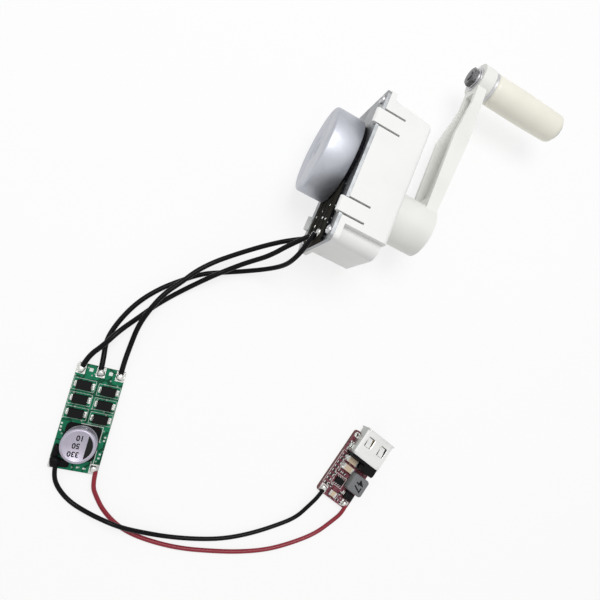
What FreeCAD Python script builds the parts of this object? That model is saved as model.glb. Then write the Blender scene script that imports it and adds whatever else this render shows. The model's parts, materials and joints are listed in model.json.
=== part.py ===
"""Hand crank phone charger: gearbox, crank, generator rotor, rectifier and USB module.

Frame in millimetres: the origin is the middle of the gearbox face that lies on the table,
+X runs from the rotor to the crank handle, +Y along the gearbox and +Z up from the table.
"""
import FreeCAD, Part
import Sketcher
import math
import os

Vector = FreeCAD.Vector
doc = FreeCAD.newDocument("HandCrankCharger")

# Driving dimensions, one cell of the sheet each
SIZES = {
    # gearbox housing
    "housing_width": 38.0,
    "housing_depth": 19.4,
    "low_reach": 25.0,
    "far_reach": 25.7,
    "far_slope": 1.8,
    "far_round": 2.5,
    "back_round": 1.6,
    "side_wall": 1.8,
    "back_wall": 2.2,
    "far_wall": 3.4,
    "rim_thickness": 2.2,
    "rim_low": 31.6,
    "rim_far": 27.4,
    "rim_round": 2.0,
    "block_reach": 30.7,
    "block_step": 3.0,
    "block_round": 5.0,
    "clip_middle": -1.2,
    "clip_spread": 35.5,
    "clip_width": 5.6,
    "slot_width": 0.8,
    "slot_length": 8.6,
    "hook_reach": 2.8,
    "hook_overlap": 1.1,
    # motor plate and its screws
    "plate_thickness": 1.2,
    "plate_low": 32.4,
    "plate_far": 28.2,
    "plate_inset": 0.3,
    "plate_round": 2.2,
    "screw_inset": 3.5,
    "screw_low": 28.4,
    "screw_far": 24.6,
    "screw_radius": 0.8,
    "screw_head_radius": 1.7,
    "screw_head_height": 1.1,
    "screw_depth": 2.0,
    # shafts and their places
    "crank_y": -7.0,
    "motor_y": 2.9,
    "idler_lift": 18.0,
    "crank_shaft_radius": 2.5,
    "shaft_end_inset": 1.0,
    "idler_pin_radius": 1.0,
    "motor_shaft_radius": 1.0,
    "running_gap": 0.05,
    "seat_gap": 0.02,
    "bush_wall": 1.6,
    # gear train
    "first_module": 0.6,
    "fine_module": 0.5,
    "gear_face": 3.8,
    "gear_clearance": 0.5,
    "layer_pitch": 4.4,
    "sleeve_radius": 2.0,
    "sleeve_clearance": 0.5,
    "tooth_play": 0.1,
    # generator
    "rotor_radius": 17.0,
    "rotor_depth": 11.3,
    "rotor_gap": 0.5,
    "rotor_wall": 1.3,
    "rotor_round": 1.0,
    "magnet_thickness": 1.5,
    "air_gap": 0.6,
    "tube_radius": 3.5,
    "tube_flange_radius": 5.2,
    "tube_inset": 1.8,
    "stator_length": 6.6,
    "stator_inset": 2.2,
    "tooth_width": 2.2,
    "coil_build": 1.0,
    "board_thickness": 1.0,
    "board_gap": 0.2,
    "board_radius": 15.6,
    "tongue_below": 9.0,
    "tongue_above": 13.4,
    "tongue_end": 32.2,
    "joint_inset": 3.6,
    "joint_pitch": 6.0,
    # crank arm
    "crank_radius": 72.0,
    "hub_radius": 10.2,
    "hub_gap": 0.4,
    "hub_length": 18.3,
    "hub_pocket": 12.0,
    "hub_screw_radius": 5.0,
    "arm_half_width": 7.4,
    "arm_neck_width": 4.9,
    "arm_tip_width": 4.6,
    "arm_flare_start": 41.0,
    "arm_flare_end": 59.0,
    "arm_root_inset": 4.9,
    "arm_tip_inset": 1.5,
    "arm_tip_rise": 2.8,
    "arm_rim": 1.8,
    "arm_web": 1.7,
    "boss_radius": 7.0,
    "boss_rise": 4.6,
    # grip and its bolt
    "grip_gap": 0.2,
    "grip_length": 36.2,
    "grip_base_radius": 6.6,
    "grip_middle_radius": 6.7,
    "grip_end_radius": 6.1,
    "grip_middle": 16.3,
    "grip_bore": 2.08,
    "bolt_radius": 2.0,
    "bolt_head_radius": 4.3,
    "bolt_head_height": 1.4,
    "head_recess": 0.6,
    "washer_thickness": 1.2,
    "nut_radius": 4.2,
    "nut_height": 2.0,
    "nut_washer": 1.2,
    # wires
    "phase_wire": 1.9,
    "supply_wire": 1.6,
    # rectifier board
    "rectifier_x": -57.55,
    "rectifier_y": -120.15,
    "rectifier_turn": 8.8,
    "rectifier_width": 16.8,
    "rectifier_length": 37.0,
    "card_thickness": 1.6,
    "diode_length": 5.2,
    "diode_width": 3.2,
    "diode_height": 2.2,
    "diode_lead": 0.9,
    "diode_column": 4.3,
    "diode_row": 5.0,
    "diode_first": 10.8,
    "can_radius": 5.9,
    "can_height": 7.8,
    "can_x": -0.1,
    "can_y": -8.2,
    "can_base": 12.0,
    "can_base_height": 1.2,
    "pad_pitch": 6.8,
    # USB module
    "module_x": 44.6,
    "module_y": -103.6,
    "module_turn": -14.6,
    "module_width": 15.4,
    "module_length": 28.4,
    "socket_width": 13.1,
    "socket_height": 6.6,
    "socket_length": 11.4,
    "socket_overhang": 2.6,
    "socket_sheet": 0.35,
    "lip_length": 0.7,
    "lip_flare": 0.55,
    "socket_x": 0.4,
    "tongue_thickness": 1.8,
    "inductor_size": 7.4,
    "inductor_height": 4.2,
}


class Size:
    """A length that carries its number and the sheet formula that drives it."""

    def __init__(self, value, formula):
        self.value = float(value)
        self.formula = formula

    def __add__(self, other):
        other = as_size(other)
        return Size(self.value + other.value, f"({self.formula} + {other.formula})")

    def __sub__(self, other):
        other = as_size(other)
        return Size(self.value - other.value, f"({self.formula} - {other.formula})")

    def __mul__(self, other):
        other = as_size(other)
        return Size(self.value * other.value, f"({self.formula} * {other.formula})")

    def __truediv__(self, other):
        other = as_size(other)
        return Size(self.value / other.value, f"({self.formula} / {other.formula})")

    def __neg__(self):
        return as_size(0) - self

    def __radd__(self, other):
        return as_size(other) + self

    def __rsub__(self, other):
        return as_size(other) - self

    def __rmul__(self, other):
        return as_size(other) * self

    def __float__(self):
        return self.value


def as_size(amount):
    """A plain number as a Size of its own."""
    if isinstance(amount, Size):
        return amount
    return Size(amount, repr(float(amount)))


class Sheet:
    """The spreadsheet of driving dimensions, read as attributes."""

    def __init__(self, sizes):
        self.sizes = sizes
        self.sheet = doc.addObject("Spreadsheet::Sheet", "Sizes")
        for row, (alias, value) in enumerate(sizes.items(), start=1):
            self.sheet.set(f"A{row}", alias)
            self.sheet.set(f"B{row}", str(value))
            self.sheet.setAlias(f"B{row}", alias)
        doc.recompute()

    def __getattr__(self, alias):
        return Size(self.sizes[alias], f"Sizes.{alias}")


s = Sheet(SIZES)
nodes = []


def drive(target, prop, amount):
    """Ties a property to the sheet."""
    target.setExpression(prop, as_size(amount).formula)


def new_body(label, x=0, y=0, z=0):
    """A body that becomes one node, placed by sheet formulas."""
    body = doc.addObject("PartDesign::Body", label)
    body.Label = label
    body.AllowCompound = True
    drive(body, "Placement.Base.x", x)
    drive(body, "Placement.Base.y", y)
    drive(body, "Placement.Base.z", z)
    nodes.append(body)
    return body


def sketch_on(body, plane, offset=0):
    """An empty sketch on one of the body's own planes, moved along its normal."""
    sketch = body.newObject("Sketcher::SketchObject", "Sketch")
    origin_plane = [f for f in body.Origin.OriginFeatures if f.Role == plane + "_Plane"][0]
    sketch.AttachmentSupport = (origin_plane, [""])
    sketch.MapMode = "FlatFace"
    drive(sketch, "AttachmentOffset.Base.z", offset)
    return sketch


def pin_point(sketch, geometry, position, x, y):
    """Fixes a point of the sketch at two driven distances from its origin."""
    for kind, amount in (("DistanceX", x), ("DistanceY", y)):
        index = sketch.addConstraint(
            Sketcher.Constraint(kind, -1, 1, geometry, position, float(amount)))
        drive(sketch, f"Constraints[{index}]", amount)


def arc_between(start, end, radius):
    """Anticlockwise arc of under a half circle."""
    chord = end - start
    side = Vector(chord.y, -chord.x, 0).normalize()
    rise = radius - math.sqrt(max(radius * radius - chord.Length ** 2 / 4, 0))
    return Part.Arc(start, (start + end) / 2 + side * rise, end)


def outline(sketch, corners):
    """Closed outline: a corner is (x, y), or (x, y, radius) where an arc arrives at it.

    A positive radius turns anticlockwise and a negative one clockwise.
    """
    points = [Vector(float(c[0]), float(c[1]), 0) for c in corners]
    edges = []
    for index, corner in enumerate(corners):
        start, end = points[index - 1], points[index]
        ends = (1, 2)
        if len(corner) == 3:
            radius = as_size(corner[2])
            if radius.value < 0:
                radius = -radius
                start, end = end, start
                ends = (2, 1)
            geometry = sketch.addGeometry(arc_between(start, end, radius.value), False)
            turn = sketch.addConstraint(Sketcher.Constraint("Radius", geometry, radius.value))
            drive(sketch, f"Constraints[{turn}]", radius)
        else:
            geometry = sketch.addGeometry(Part.LineSegment(start, end), False)
        edges.append((geometry, ends))
    for index, (geometry, ends) in enumerate(edges):
        following, next_ends = edges[(index + 1) % len(edges)]
        sketch.addConstraint(
            Sketcher.Constraint("Coincident", geometry, ends[1], following, next_ends[0]))
        pin_point(sketch, geometry, ends[1], corners[index][0], corners[index][1])


def rectangle(sketch, x0, x1, y0, y1):
    outline(sketch, [(x1, y0), (x1, y1), (x0, y1), (x0, y0)])


def rounded_rectangle(sketch, x0, x1, y0, y1, r):
    outline(sketch, [(x1 - r, y0), (x1, y0 + r, r), (x1, y1 - r), (x1 - r, y1, r),
                     (x0 + r, y1), (x0, y1 - r, r), (x0, y0 + r), (x0 + r, y0, r)])


def circle(sketch, x, y, radius):
    geometry = sketch.addGeometry(
        Part.Circle(Vector(float(x), float(y), 0), Vector(0, 0, 1), float(radius)), False)
    index = sketch.addConstraint(Sketcher.Constraint("Radius", geometry, float(radius)))
    drive(sketch, f"Constraints[{index}]", radius)
    pin_point(sketch, geometry, 3, x, y)


def pad(body, sketch, length):
    """Adds material from the sketch along its normal."""
    feature = body.newObject("PartDesign::Pad", "Pad")
    feature.Profile = sketch
    drive(feature, "Length", length)
    body.Tip = feature
    return feature


def cut(body, sketch, length):
    """Takes material away from the sketch along its normal."""
    feature = body.newObject("PartDesign::Pocket", "Pocket")
    feature.Profile = sketch
    feature.Reversed = True
    drive(feature, "Length", length)
    body.Tip = feature
    return feature


def loft(body, sections, kind):
    feature = body.newObject("PartDesign::" + kind, kind)
    feature.Profile = sections[0]
    feature.Sections = [(section, [""]) for section in sections[1:]]
    feature.Ruled = True
    body.Tip = feature
    return feature


def around(body, feature, axis, count):
    """Repeats a feature round one of the body's own axes."""
    pattern = body.newObject("PartDesign::PolarPattern", "PolarPattern")
    pattern.Originals = [feature]
    origin_axis = [f for f in body.Origin.OriginFeatures if f.Role == axis + "_Axis"][0]
    pattern.Axis = (origin_axis, [""])
    pattern.Angle = 360
    pattern.Occurrences = count
    body.Tip = pattern
    return pattern


def dress(body, kind, prop, amount, test):
    """Fillets or chamfers the edges of the body that pass a test."""
    doc.recompute()
    base = body.Tip
    names = [f"Edge{i}" for i, edge in enumerate(base.Shape.Edges, start=1) if test(edge)]
    feature = body.newObject("PartDesign::" + kind, kind)
    feature.Base = (base, names)
    drive(feature, prop, amount)
    body.Tip = feature
    return feature


def fillet(body, radius, test):
    return dress(body, "Fillet", "Radius", radius, test)


def chamfer(body, size, test):
    return dress(body, "Chamfer", "Size", size, test)


def lies_at(edge, axis, value):
    """True where both ends and the middle of an edge share one coordinate."""
    box = edge.BoundBox
    low = (box.XMin, box.YMin, box.ZMin)[axis]
    high = (box.XMax, box.YMax, box.ZMax)[axis]
    return abs(low - float(value)) < 1e-4 and abs(high - float(value)) < 1e-4


def runs_along(edge, axis):
    """True for a straight edge along one axis."""
    if edge.Curve.TypeId != "Part::GeomLine":
        return False
    direction = edge.Curve.Direction
    return abs(abs((direction.x, direction.y, direction.z)[axis]) - 1) < 1e-6


def turned(label, y, z, profile):
    """A turned piece on an axis along X: the profile is (x, radius) corners."""
    body = new_body(label, 0, y, z)
    sketch = sketch_on(body, "XY")
    outline(sketch, profile)
    feature = body.newObject("PartDesign::Revolution", "Revolution")
    feature.Profile = sketch
    feature.ReferenceAxis = (sketch, ["H_Axis"])
    feature.Angle = 360
    body.Tip = feature
    return body


def ring(label, y, z, start, end, outer, inner):
    """A plain turned ring, bush or washer."""
    return turned(label, y, z, [(start, inner), (end, inner), (end, outer), (start, outer)])


def place(body, x, y, turn):
    """Sets a board's piece down in the board's own frame."""
    drive(body, "Placement.Base.x", x)
    drive(body, "Placement.Base.y", y)
    body.Placement.Rotation = FreeCAD.Rotation(Vector(0, 0, 1), float(turn))
    drive(body, "Placement.Rotation.Angle", turn)
    return body


# Planes that the pieces share
back = s.housing_depth / 2
rim = -(s.housing_depth / 2)
plate_front = rim - s.plate_thickness
axis_height = s.housing_width / 2
board_back = plate_front - s.board_gap
board_front = board_back - s.board_thickness
inner_back = back - s.back_wall
rotor_rear = board_front - s.rotor_gap
rotor_front = rotor_rear - s.rotor_depth
rotor_inner = rotor_front + s.rotor_wall
stator_front = rotor_inner + s.stator_inset
tube_front = rotor_inner + s.tube_inset
hub_start = back + s.hub_gap
hub_end = hub_start + s.hub_length
shaft_end = hub_end - s.shaft_end_inset
arm_inner_root = hub_end - s.arm_root_inset
arm_inner_tip = hub_end - s.arm_tip_inset
arm_outer_tip = hub_end + s.arm_tip_rise
boss_end = hub_end + s.boss_rise
grip_start = boss_end + s.washer_thickness + s.grip_gap
grip_end = grip_start + s.grip_length

# Gear train: teeth, ratios and shaft places
CRANK_TEETH = 42
FIRST_PINION_TEETH = 12
FIRST_WHEEL_TEETH = 36
SECOND_PINION_TEETH = 12
SECOND_WHEEL_TEETH = 30
MOTOR_PINION_TEETH = 12
STATOR_TEETH = 9
PRESSURE_ANGLE = math.radians(20)
PINION_SHIFT = 0.3


def centre_distance(module, teeth_a, teeth_b):
    return float(module) * (teeth_a + teeth_b) / 2


def shaft_places():
    """Places of the crank, first idler, second idler and motor shafts in the Y-Z plane."""
    crank = Vector(s.crank_y.value, axis_height.value, 0)
    motor = Vector(s.motor_y.value, axis_height.value, 0)
    lift = math.radians(s.idler_lift.value)
    reach = centre_distance(s.first_module, CRANK_TEETH, FIRST_PINION_TEETH)
    first = crank + Vector(math.cos(lift), math.sin(lift), 0) * reach
    to_second = centre_distance(s.fine_module, FIRST_WHEEL_TEETH, SECOND_PINION_TEETH)
    to_motor = centre_distance(s.fine_module, SECOND_WHEEL_TEETH, MOTOR_PINION_TEETH)
    gap = motor - first
    along = (to_second ** 2 - to_motor ** 2 + gap.Length ** 2) / (2 * gap.Length)
    aside = math.sqrt(to_second ** 2 - along ** 2)
    unit = gap / gap.Length
    second = first + unit * along + Vector(-unit.y, unit.x, 0) * aside
    return crank, first, second, motor


crank_place, first_place, second_place, motor_place = shaft_places()


def involute(angle):
    return math.tan(angle) - angle


def gear_outline(teeth, module, shift, phase):
    """Corners of a spur gear: two chords to each involute flank, teeth thinned by the play."""
    pitch = module * teeth / 2
    base = pitch * math.cos(PRESSURE_ANGLE)
    tip = pitch + module * (1 + shift)
    root = pitch - module * (1.25 - shift)
    half = (math.pi / 2 + 2 * shift * math.tan(PRESSURE_ANGLE)) / teeth
    half = half - s.tooth_play.value / 2 / pitch

    def flank(radius):
        pressed = math.acos(min(base / max(radius, base), 1))
        return half + involute(PRESSURE_ANGLE) - involute(pressed)

    stations = [root, max(base, root) + 0.01, pitch, tip]
    corners = []
    for tooth in range(teeth):
        middle = phase + 2 * math.pi * tooth / teeth
        for radius in stations:
            corners.append((radius, middle - flank(radius)))
        for radius in reversed(stations):
            corners.append((radius, middle + flank(radius)))
    return [Vector(radius * math.cos(a), radius * math.sin(a), 0) for radius, a in corners]


def meshing_phase(place, teeth, phase, other_place, other_teeth):
    """Phase of a gear that meshes with its driver: its gap faces the driver's tooth."""
    line = math.atan2(other_place.y - place.y, other_place.x - place.x)
    step = 2 * math.pi / teeth
    lead = (phase - line) % step
    gap_angle = line + math.pi - lead * teeth / other_teeth
    return gap_angle + math.pi / other_teeth


first_phase = meshing_phase(crank_place, CRANK_TEETH, 0, first_place, FIRST_PINION_TEETH)
second_phase = meshing_phase(first_place, FIRST_WHEEL_TEETH, first_phase, second_place, SECOND_PINION_TEETH)
motor_phase = meshing_phase(second_place, SECOND_WHEEL_TEETH, second_phase, motor_place, MOTOR_PINION_TEETH)


def gear_rim(body, start, length, teeth, module, shift, phase):
    """One row of teeth, drawn from the involute and padded along X."""
    sketch = sketch_on(body, "YZ", start)
    corners = gear_outline(teeth, module.value, shift, phase)
    for begin, end in zip(corners, corners[1:] + corners[:1]):
        sketch.addGeometry(Part.LineSegment(begin, end), False)
    pad(body, sketch, length)


def disc(body, start, length, radius, y=0, z=0):
    sketch = sketch_on(body, "YZ", start)
    circle(sketch, y, z, radius)
    pad(body, sketch, length)


def bore(body, start, length, radius, y=0, z=0):
    sketch = sketch_on(body, "YZ", start)
    circle(sketch, y, z, radius)
    cut(body, sketch, length)


# X places of the three gear layers, counted from the back wall
gear_top = inner_back - s.gear_clearance
sleeve_start = rim + s.sleeve_clearance
layer_a = gear_top - s.gear_face
layer_b = layer_a - s.layer_pitch
layer_c = layer_b - s.layer_pitch


def clip_middles():
    half = s.clip_spread / 2
    return (s.clip_middle - half, s.clip_middle + half)


def screw_places():
    low, high = s.screw_inset, s.housing_width - s.screw_inset
    return [(y, z) for y in (-s.screw_low, s.screw_far) for z in (low, high)]


def make_housing():
    """Moulded shell with a flanged open side, four snap clips and a stepped, rounded end."""
    body = new_body("gearbox_housing")
    side = sketch_on(body, "XY")
    outline(side, [(back, -s.low_reach), (back, s.far_reach - s.far_slope),
                   (rim + s.rim_thickness, s.far_reach), (rim + s.rim_thickness, s.rim_far),
                   (rim, s.rim_far), (rim, -s.low_reach)])
    pad(body, side, s.housing_width)
    corner_y = s.far_reach - s.far_slope
    fillet(body, s.far_round,
           lambda e: runs_along(e, 2) and lies_at(e, 0, back) and lies_at(e, 1, corner_y))
    fillet(body, s.back_round, lambda e: lies_at(e, 0, back) and not runs_along(e, 2))

    block = sketch_on(body, "YZ", rim)
    inner, outer = -s.low_reach + 1, -s.block_reach
    low, high = s.block_step, s.housing_width - s.block_step
    r = s.block_round
    outline(block, [(inner, low), (inner, high), (outer + r, high), (outer, high - r, r),
                    (outer, low + r), (outer + r, low, r)])
    pad(body, block, s.housing_depth - s.back_round / 2)
    flange = sketch_on(body, "YZ", rim)
    rounded_rectangle(flange, -s.rim_low, s.rim_far, as_size(0), s.housing_width, s.rim_round)
    pad(body, flange, s.rim_thickness)

    wall = s.side_wall
    hollow = sketch_on(body, "YZ", rim)
    rounded_rectangle(hollow, wall - s.low_reach, s.far_reach - s.far_wall, wall,
                      s.housing_width - wall, wall)
    cut(body, hollow, s.housing_depth - s.back_wall)
    end_hollow = sketch_on(body, "YZ", rim)
    rounded_rectangle(end_hollow, wall - s.block_reach, wall - s.low_reach + wall,
                      s.block_step + wall, s.housing_width - s.block_step - wall, wall)
    cut(body, end_hollow, s.housing_depth - s.back_wall)

    slots = sketch_on(body, "XY", -1)
    for middle in clip_middles():
        for side_sign in (-1, 1):
            y = middle + side_sign * (s.clip_width / 2 + s.slot_width / 2)
            rectangle(slots, rim - 1, rim + s.slot_length, y - s.slot_width / 2,
                      y + s.slot_width / 2)
    cut(body, slots, s.housing_width + 2)

    nose_back = plate_front - s.running_gap
    for middle in clip_middles():
        hooks = sketch_on(body, "XZ", -(middle + s.clip_width / 2))
        for face, inward in ((s.housing_width, -1), (as_size(0), 1)):
            skin = face + inward * wall
            corners = [(rim + 0.5, face), (rim - s.hook_reach + 0.6, face),
                       (rim - s.hook_reach, face + inward * 0.6),
                       (rim - s.hook_reach, face + inward * 1.4),
                       (nose_back, skin + inward * s.hook_overlap), (nose_back, skin),
                       (rim + 0.5, skin)]
            outline(hooks, corners)
        pad(body, hooks, s.clip_width)

    holes = sketch_on(body, "YZ", rim)
    for y, z in screw_places():
        circle(holes, y, z, s.screw_radius + s.seat_gap)
    cut(body, holes, s.rim_thickness)
    for place_at in (first_place, second_place):
        disc(body, inner_back - 0.3, as_size(0.8), s.idler_pin_radius + 1.4,
             place_at.x, place_at.y)
    pins = sketch_on(body, "YZ", inner_back - 1)
    for place_at in (first_place, second_place):
        circle(pins, place_at.x, place_at.y, s.idler_pin_radius + s.seat_gap)
    cut(body, pins, s.back_wall)
    bore(body, inner_back - 1, s.back_wall + 2,
         s.crank_shaft_radius + s.running_gap + s.bush_wall + s.seat_gap,
         s.crank_y, axis_height)


def make_plate():
    """Stamped steel plate that closes the gearbox and carries the generator."""
    body = new_body("motor_plate")
    sheet = sketch_on(body, "YZ", plate_front)
    rounded_rectangle(sheet, -s.plate_low, s.plate_far, s.plate_inset,
                      s.housing_width - s.plate_inset, s.plate_round)
    circle(sheet, s.motor_y, axis_height, s.tube_radius + s.seat_gap)
    circle(sheet, s.crank_y, axis_height,
           s.crank_shaft_radius + s.running_gap + s.bush_wall + s.seat_gap)
    for place_at in (first_place, second_place):
        circle(sheet, place_at.x, place_at.y, s.idler_pin_radius + s.seat_gap)
    for y, z in screw_places():
        circle(sheet, y, z, s.screw_radius + 0.3)
    pad(body, sheet, s.plate_thickness)
    notches = sketch_on(body, "YZ", plate_front)
    depth = s.side_wall + 0.1
    half = s.clip_width / 2 + 0.3
    for middle in clip_middles():
        rectangle(notches, middle - half, middle + half, as_size(-1), depth)
        rectangle(notches, middle - half, middle + half, s.housing_width - depth,
                  s.housing_width + 1)
    cut(body, notches, s.plate_thickness)


def make_plate_screws():
    """Four pan head screws at the plate's corners."""
    body = new_body("plate_screws")
    heads = sketch_on(body, "YZ", plate_front - s.screw_head_height)
    shanks = sketch_on(body, "YZ", plate_front - 0.2)
    for y, z in screw_places():
        circle(heads, y, z, s.screw_head_radius)
        circle(shanks, y, z, s.screw_radius)
    pad(body, heads, s.screw_head_height)
    pad(body, shanks, s.plate_thickness + s.screw_depth + 0.2)
    face = plate_front - s.screw_head_height
    chamfer(body, s.screw_head_height * 0.4, lambda e: lies_at(e, 0, face))


def make_gears():
    """Crank wheel, two compound idlers and the motor pinion, in mesh at rest."""
    wheel = new_body("drive_gear", 0, s.crank_y, axis_height)
    gear_rim(wheel, layer_a, s.gear_face, CRANK_TEETH, s.first_module, -PINION_SHIFT, 0)
    disc(wheel, layer_a - 2.2, as_size(2.4), s.crank_shaft_radius + 2.4)
    bore(wheel, layer_a - 3, s.gear_face + 4, s.crank_shaft_radius + s.seat_gap)

    hole = s.idler_pin_radius + s.running_gap
    first = new_body("idler_gear_first", 0, first_place.x, first_place.y)
    gear_rim(first, layer_b, s.gear_face, FIRST_WHEEL_TEETH, s.fine_module, -PINION_SHIFT,
             first_phase)
    gear_rim(first, layer_b + s.gear_face - 0.2, s.layer_pitch + 0.2, FIRST_PINION_TEETH,
             s.first_module, PINION_SHIFT, first_phase)
    disc(first, sleeve_start, layer_b + 0.4 - sleeve_start, s.sleeve_radius)
    bore(first, sleeve_start - 1, gear_top + 2 - sleeve_start, hole)

    second = new_body("idler_gear_second", 0, second_place.x, second_place.y)
    gear_rim(second, layer_c, s.gear_face, SECOND_WHEEL_TEETH, s.fine_module, -PINION_SHIFT,
             second_phase)
    gear_rim(second, layer_c + s.gear_face - 0.2, s.layer_pitch + 0.2, SECOND_PINION_TEETH,
             s.fine_module, PINION_SHIFT, second_phase)
    disc(second, sleeve_start, gear_top - 0.2 - sleeve_start, s.sleeve_radius)
    bore(second, sleeve_start - 1, gear_top + 2 - sleeve_start, hole)

    pinion = new_body("motor_pinion", 0, s.motor_y, axis_height)
    gear_rim(pinion, layer_c, s.gear_face, MOTOR_PINION_TEETH, s.fine_module, PINION_SHIFT,
             motor_phase)
    bore(pinion, layer_c - 1, s.gear_face + 2, s.motor_shaft_radius + s.seat_gap)


def make_idler_pins():
    """Two steel pins, held in the plate and in the back wall."""
    body = new_body("idler_pins")
    sketch = sketch_on(body, "YZ", plate_front)
    for place_at in (first_place, second_place):
        circle(sketch, place_at.x, place_at.y, s.idler_pin_radius)
    pad(body, sketch, inner_back - plate_front + s.back_wall - 1.1)


def make_crank_shaft():
    """Steel shaft with a tapped end for the hub screw, its two bushes and its clip."""
    radius = s.crank_shaft_radius
    tapped = s.screw_radius * 2 + s.seat_gap
    turned("crank_shaft", s.crank_y, axis_height,
           [(plate_front, as_size(0)), (shaft_end - 9, as_size(0)),
            (shaft_end - 9, tapped), (shaft_end, tapped),
            (shaft_end, radius), (plate_front, radius)])
    bore_radius = radius + s.running_gap
    ring("back_bush", s.crank_y, axis_height, inner_back - 0.2, back + 0.2,
         bore_radius + s.bush_wall, bore_radius)
    ring("plate_bush", s.crank_y, axis_height, plate_front, rim + 0.8,
         bore_radius + s.bush_wall, bore_radius)
    ring("shaft_clip", s.crank_y, axis_height, rim + 1.0, rim + 1.8, radius + 1.6,
         radius + s.seat_gap)


def make_generator():
    """Outrunner generator: bearing tube, stator, coils, board, and the rotor round them."""
    y, z = s.motor_y, axis_height
    shaft = s.motor_shaft_radius
    bush_radius = shaft + 1.0
    turned("bearing_tube", y, z,
           [(tube_front, bush_radius), (rim, bush_radius), (rim, s.tube_radius),
            (plate_front, s.tube_radius), (plate_front, s.tube_flange_radius),
            (board_back, s.tube_flange_radius), (board_back, s.tube_radius),
            (tube_front, s.tube_radius)])
    bushes = turned("motor_bushes", y, z,
                    [(tube_front, shaft + 0.03), (tube_front + 3, shaft + 0.03),
                     (tube_front + 3, bush_radius - s.seat_gap),
                     (tube_front, bush_radius - s.seat_gap)])
    rear = sketch_on(bushes, "YZ", rim - 3)
    circle(rear, 0, 0, bush_radius - s.seat_gap)
    circle(rear, 0, 0, shaft + 0.03)
    pad(bushes, rear, as_size(3))

    magnet_outer = s.rotor_radius - s.rotor_wall - s.seat_gap
    stator_radius = magnet_outer - s.magnet_thickness - s.air_gap
    core = new_body("stator_core", 0, y, z)
    stack = sketch_on(core, "YZ", stator_front)
    circle(stack, 0, 0, stator_radius)
    circle(stack, 0, 0, s.tube_radius + s.seat_gap)
    pad(core, stack, s.stator_length)
    slot = sketch_on(core, "YZ", stator_front)
    half_step = math.pi / STATOR_TEETH
    root = s.tube_radius + 3
    shoe = stator_radius - 1.1
    spread = 2 * math.tan(half_step)
    half_tooth = s.tooth_width / 2
    outline(slot, [(root, root * (spread / 2) - half_tooth),
                   (shoe, shoe * (spread / 2) - half_tooth),
                   (shoe + 0.3, as_size(0.6)), (stator_radius + 1, as_size(0.6)),
                   (stator_radius + 1, as_size(-0.6)), (shoe + 0.3, as_size(-0.6)),
                   (shoe, half_tooth - shoe * (spread / 2)),
                   (root, half_tooth - root * (spread / 2))])
    around(core, cut(core, slot, s.stator_length), "X", STATOR_TEETH)

    coils = new_body("stator_windings", 0, y, z)
    half_turn = s.tooth_width / 2 + 0.05
    coil_front = stator_front - s.coil_build
    coil_sketch = sketch_on(coils, "YZ", coil_front)
    build = s.coil_build * 0.8
    rectangle(coil_sketch, root + 0.6, shoe - 0.3, -(half_turn + build), half_turn + build)
    coil_block = pad(coils, coil_sketch, s.stator_length + 2 * s.coil_build)
    hole_sketch = sketch_on(coils, "YZ", stator_front - 0.05)
    rectangle(hole_sketch, root, shoe, -half_turn, half_turn)
    coil_hole = cut(coils, hole_sketch, s.stator_length + 0.1)
    pattern = coils.newObject("PartDesign::PolarPattern", "PolarPattern")
    pattern.Originals = [coil_block, coil_hole]
    pattern.Axis = ([f for f in coils.Origin.OriginFeatures if f.Role == "X_Axis"][0], [""])
    pattern.Angle = 360
    pattern.Occurrences = STATOR_TEETH
    coils.Tip = pattern
    coils.Placement.Rotation = FreeCAD.Rotation(Vector(1, 0, 0), 180.0 / STATOR_TEETH)
    drive(coils, "Placement.Rotation.Angle", 180.0 / STATOR_TEETH)

    board = new_body("stator_board")
    face = sketch_on(board, "YZ", board_front)
    circle(face, y, z, s.board_radius)
    circle(face, y, z, s.tube_radius + s.running_gap)
    pad(board, face, s.board_thickness)
    tongue = sketch_on(board, "YZ", board_front)
    rectangle(tongue, -s.tongue_end, s.motor_y - s.board_radius * 0.75,
              axis_height - s.tongue_below, axis_height + s.tongue_above)
    pad(board, tongue, s.board_thickness)
    bore(board, board_front - 0.5, s.board_thickness + 1, s.tube_radius + s.running_gap, y, z)
    fillet(board, as_size(1.6),
           lambda e: runs_along(e, 0) and lies_at(e, 1, -s.tongue_end))

    pads = new_body("stator_solder")
    beads = sketch_on(pads, "YZ", board_front - 1.1)
    joint_y = s.joint_inset - s.tongue_end
    for step in (-1, 0, 1):
        joint_z = axis_height + 2 + step * s.joint_pitch
        rounded_rectangle(beads, joint_y - 1.6, joint_y + 1.6, joint_z - 1.3, joint_z + 1.3,
                          as_size(0.9))
    pad(pads, beads, as_size(1.1))
    chamfer(pads, as_size(0.4), lambda e: lies_at(e, 0, board_front - 1.1))

    wall, r = s.rotor_wall, s.rotor_round
    front, inner_front = rotor_front, rotor_front + wall
    hub = shaft + 2.6
    outer = s.rotor_radius
    turned("rotor_cup", y, z,
           [(rotor_rear, outer - wall), (rotor_rear, outer), (front + r, outer),
            (front, outer - r, r), (front, shaft + 0.9), (front + 0.8, shaft + s.seat_gap),
            (inner_front + 1, shaft + s.seat_gap), (inner_front + 1, hub),
            (inner_front, hub), (inner_front, outer - wall - 1.2),
            (inner_front + 1.2, outer - wall, -1.2)])
    ring("magnet_ring", y, z, stator_front - 0.3, rotor_rear - 0.5, magnet_outer,
         magnet_outer - s.magnet_thickness)
    ring("rotor_shaft", y, z, front + 1.6, layer_c + s.gear_face, shaft, as_size(0))
    ring("rotor_collar", y, z, rim + 0.5, rim + 1.7, shaft + 1.2, shaft + s.seat_gap)


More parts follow.
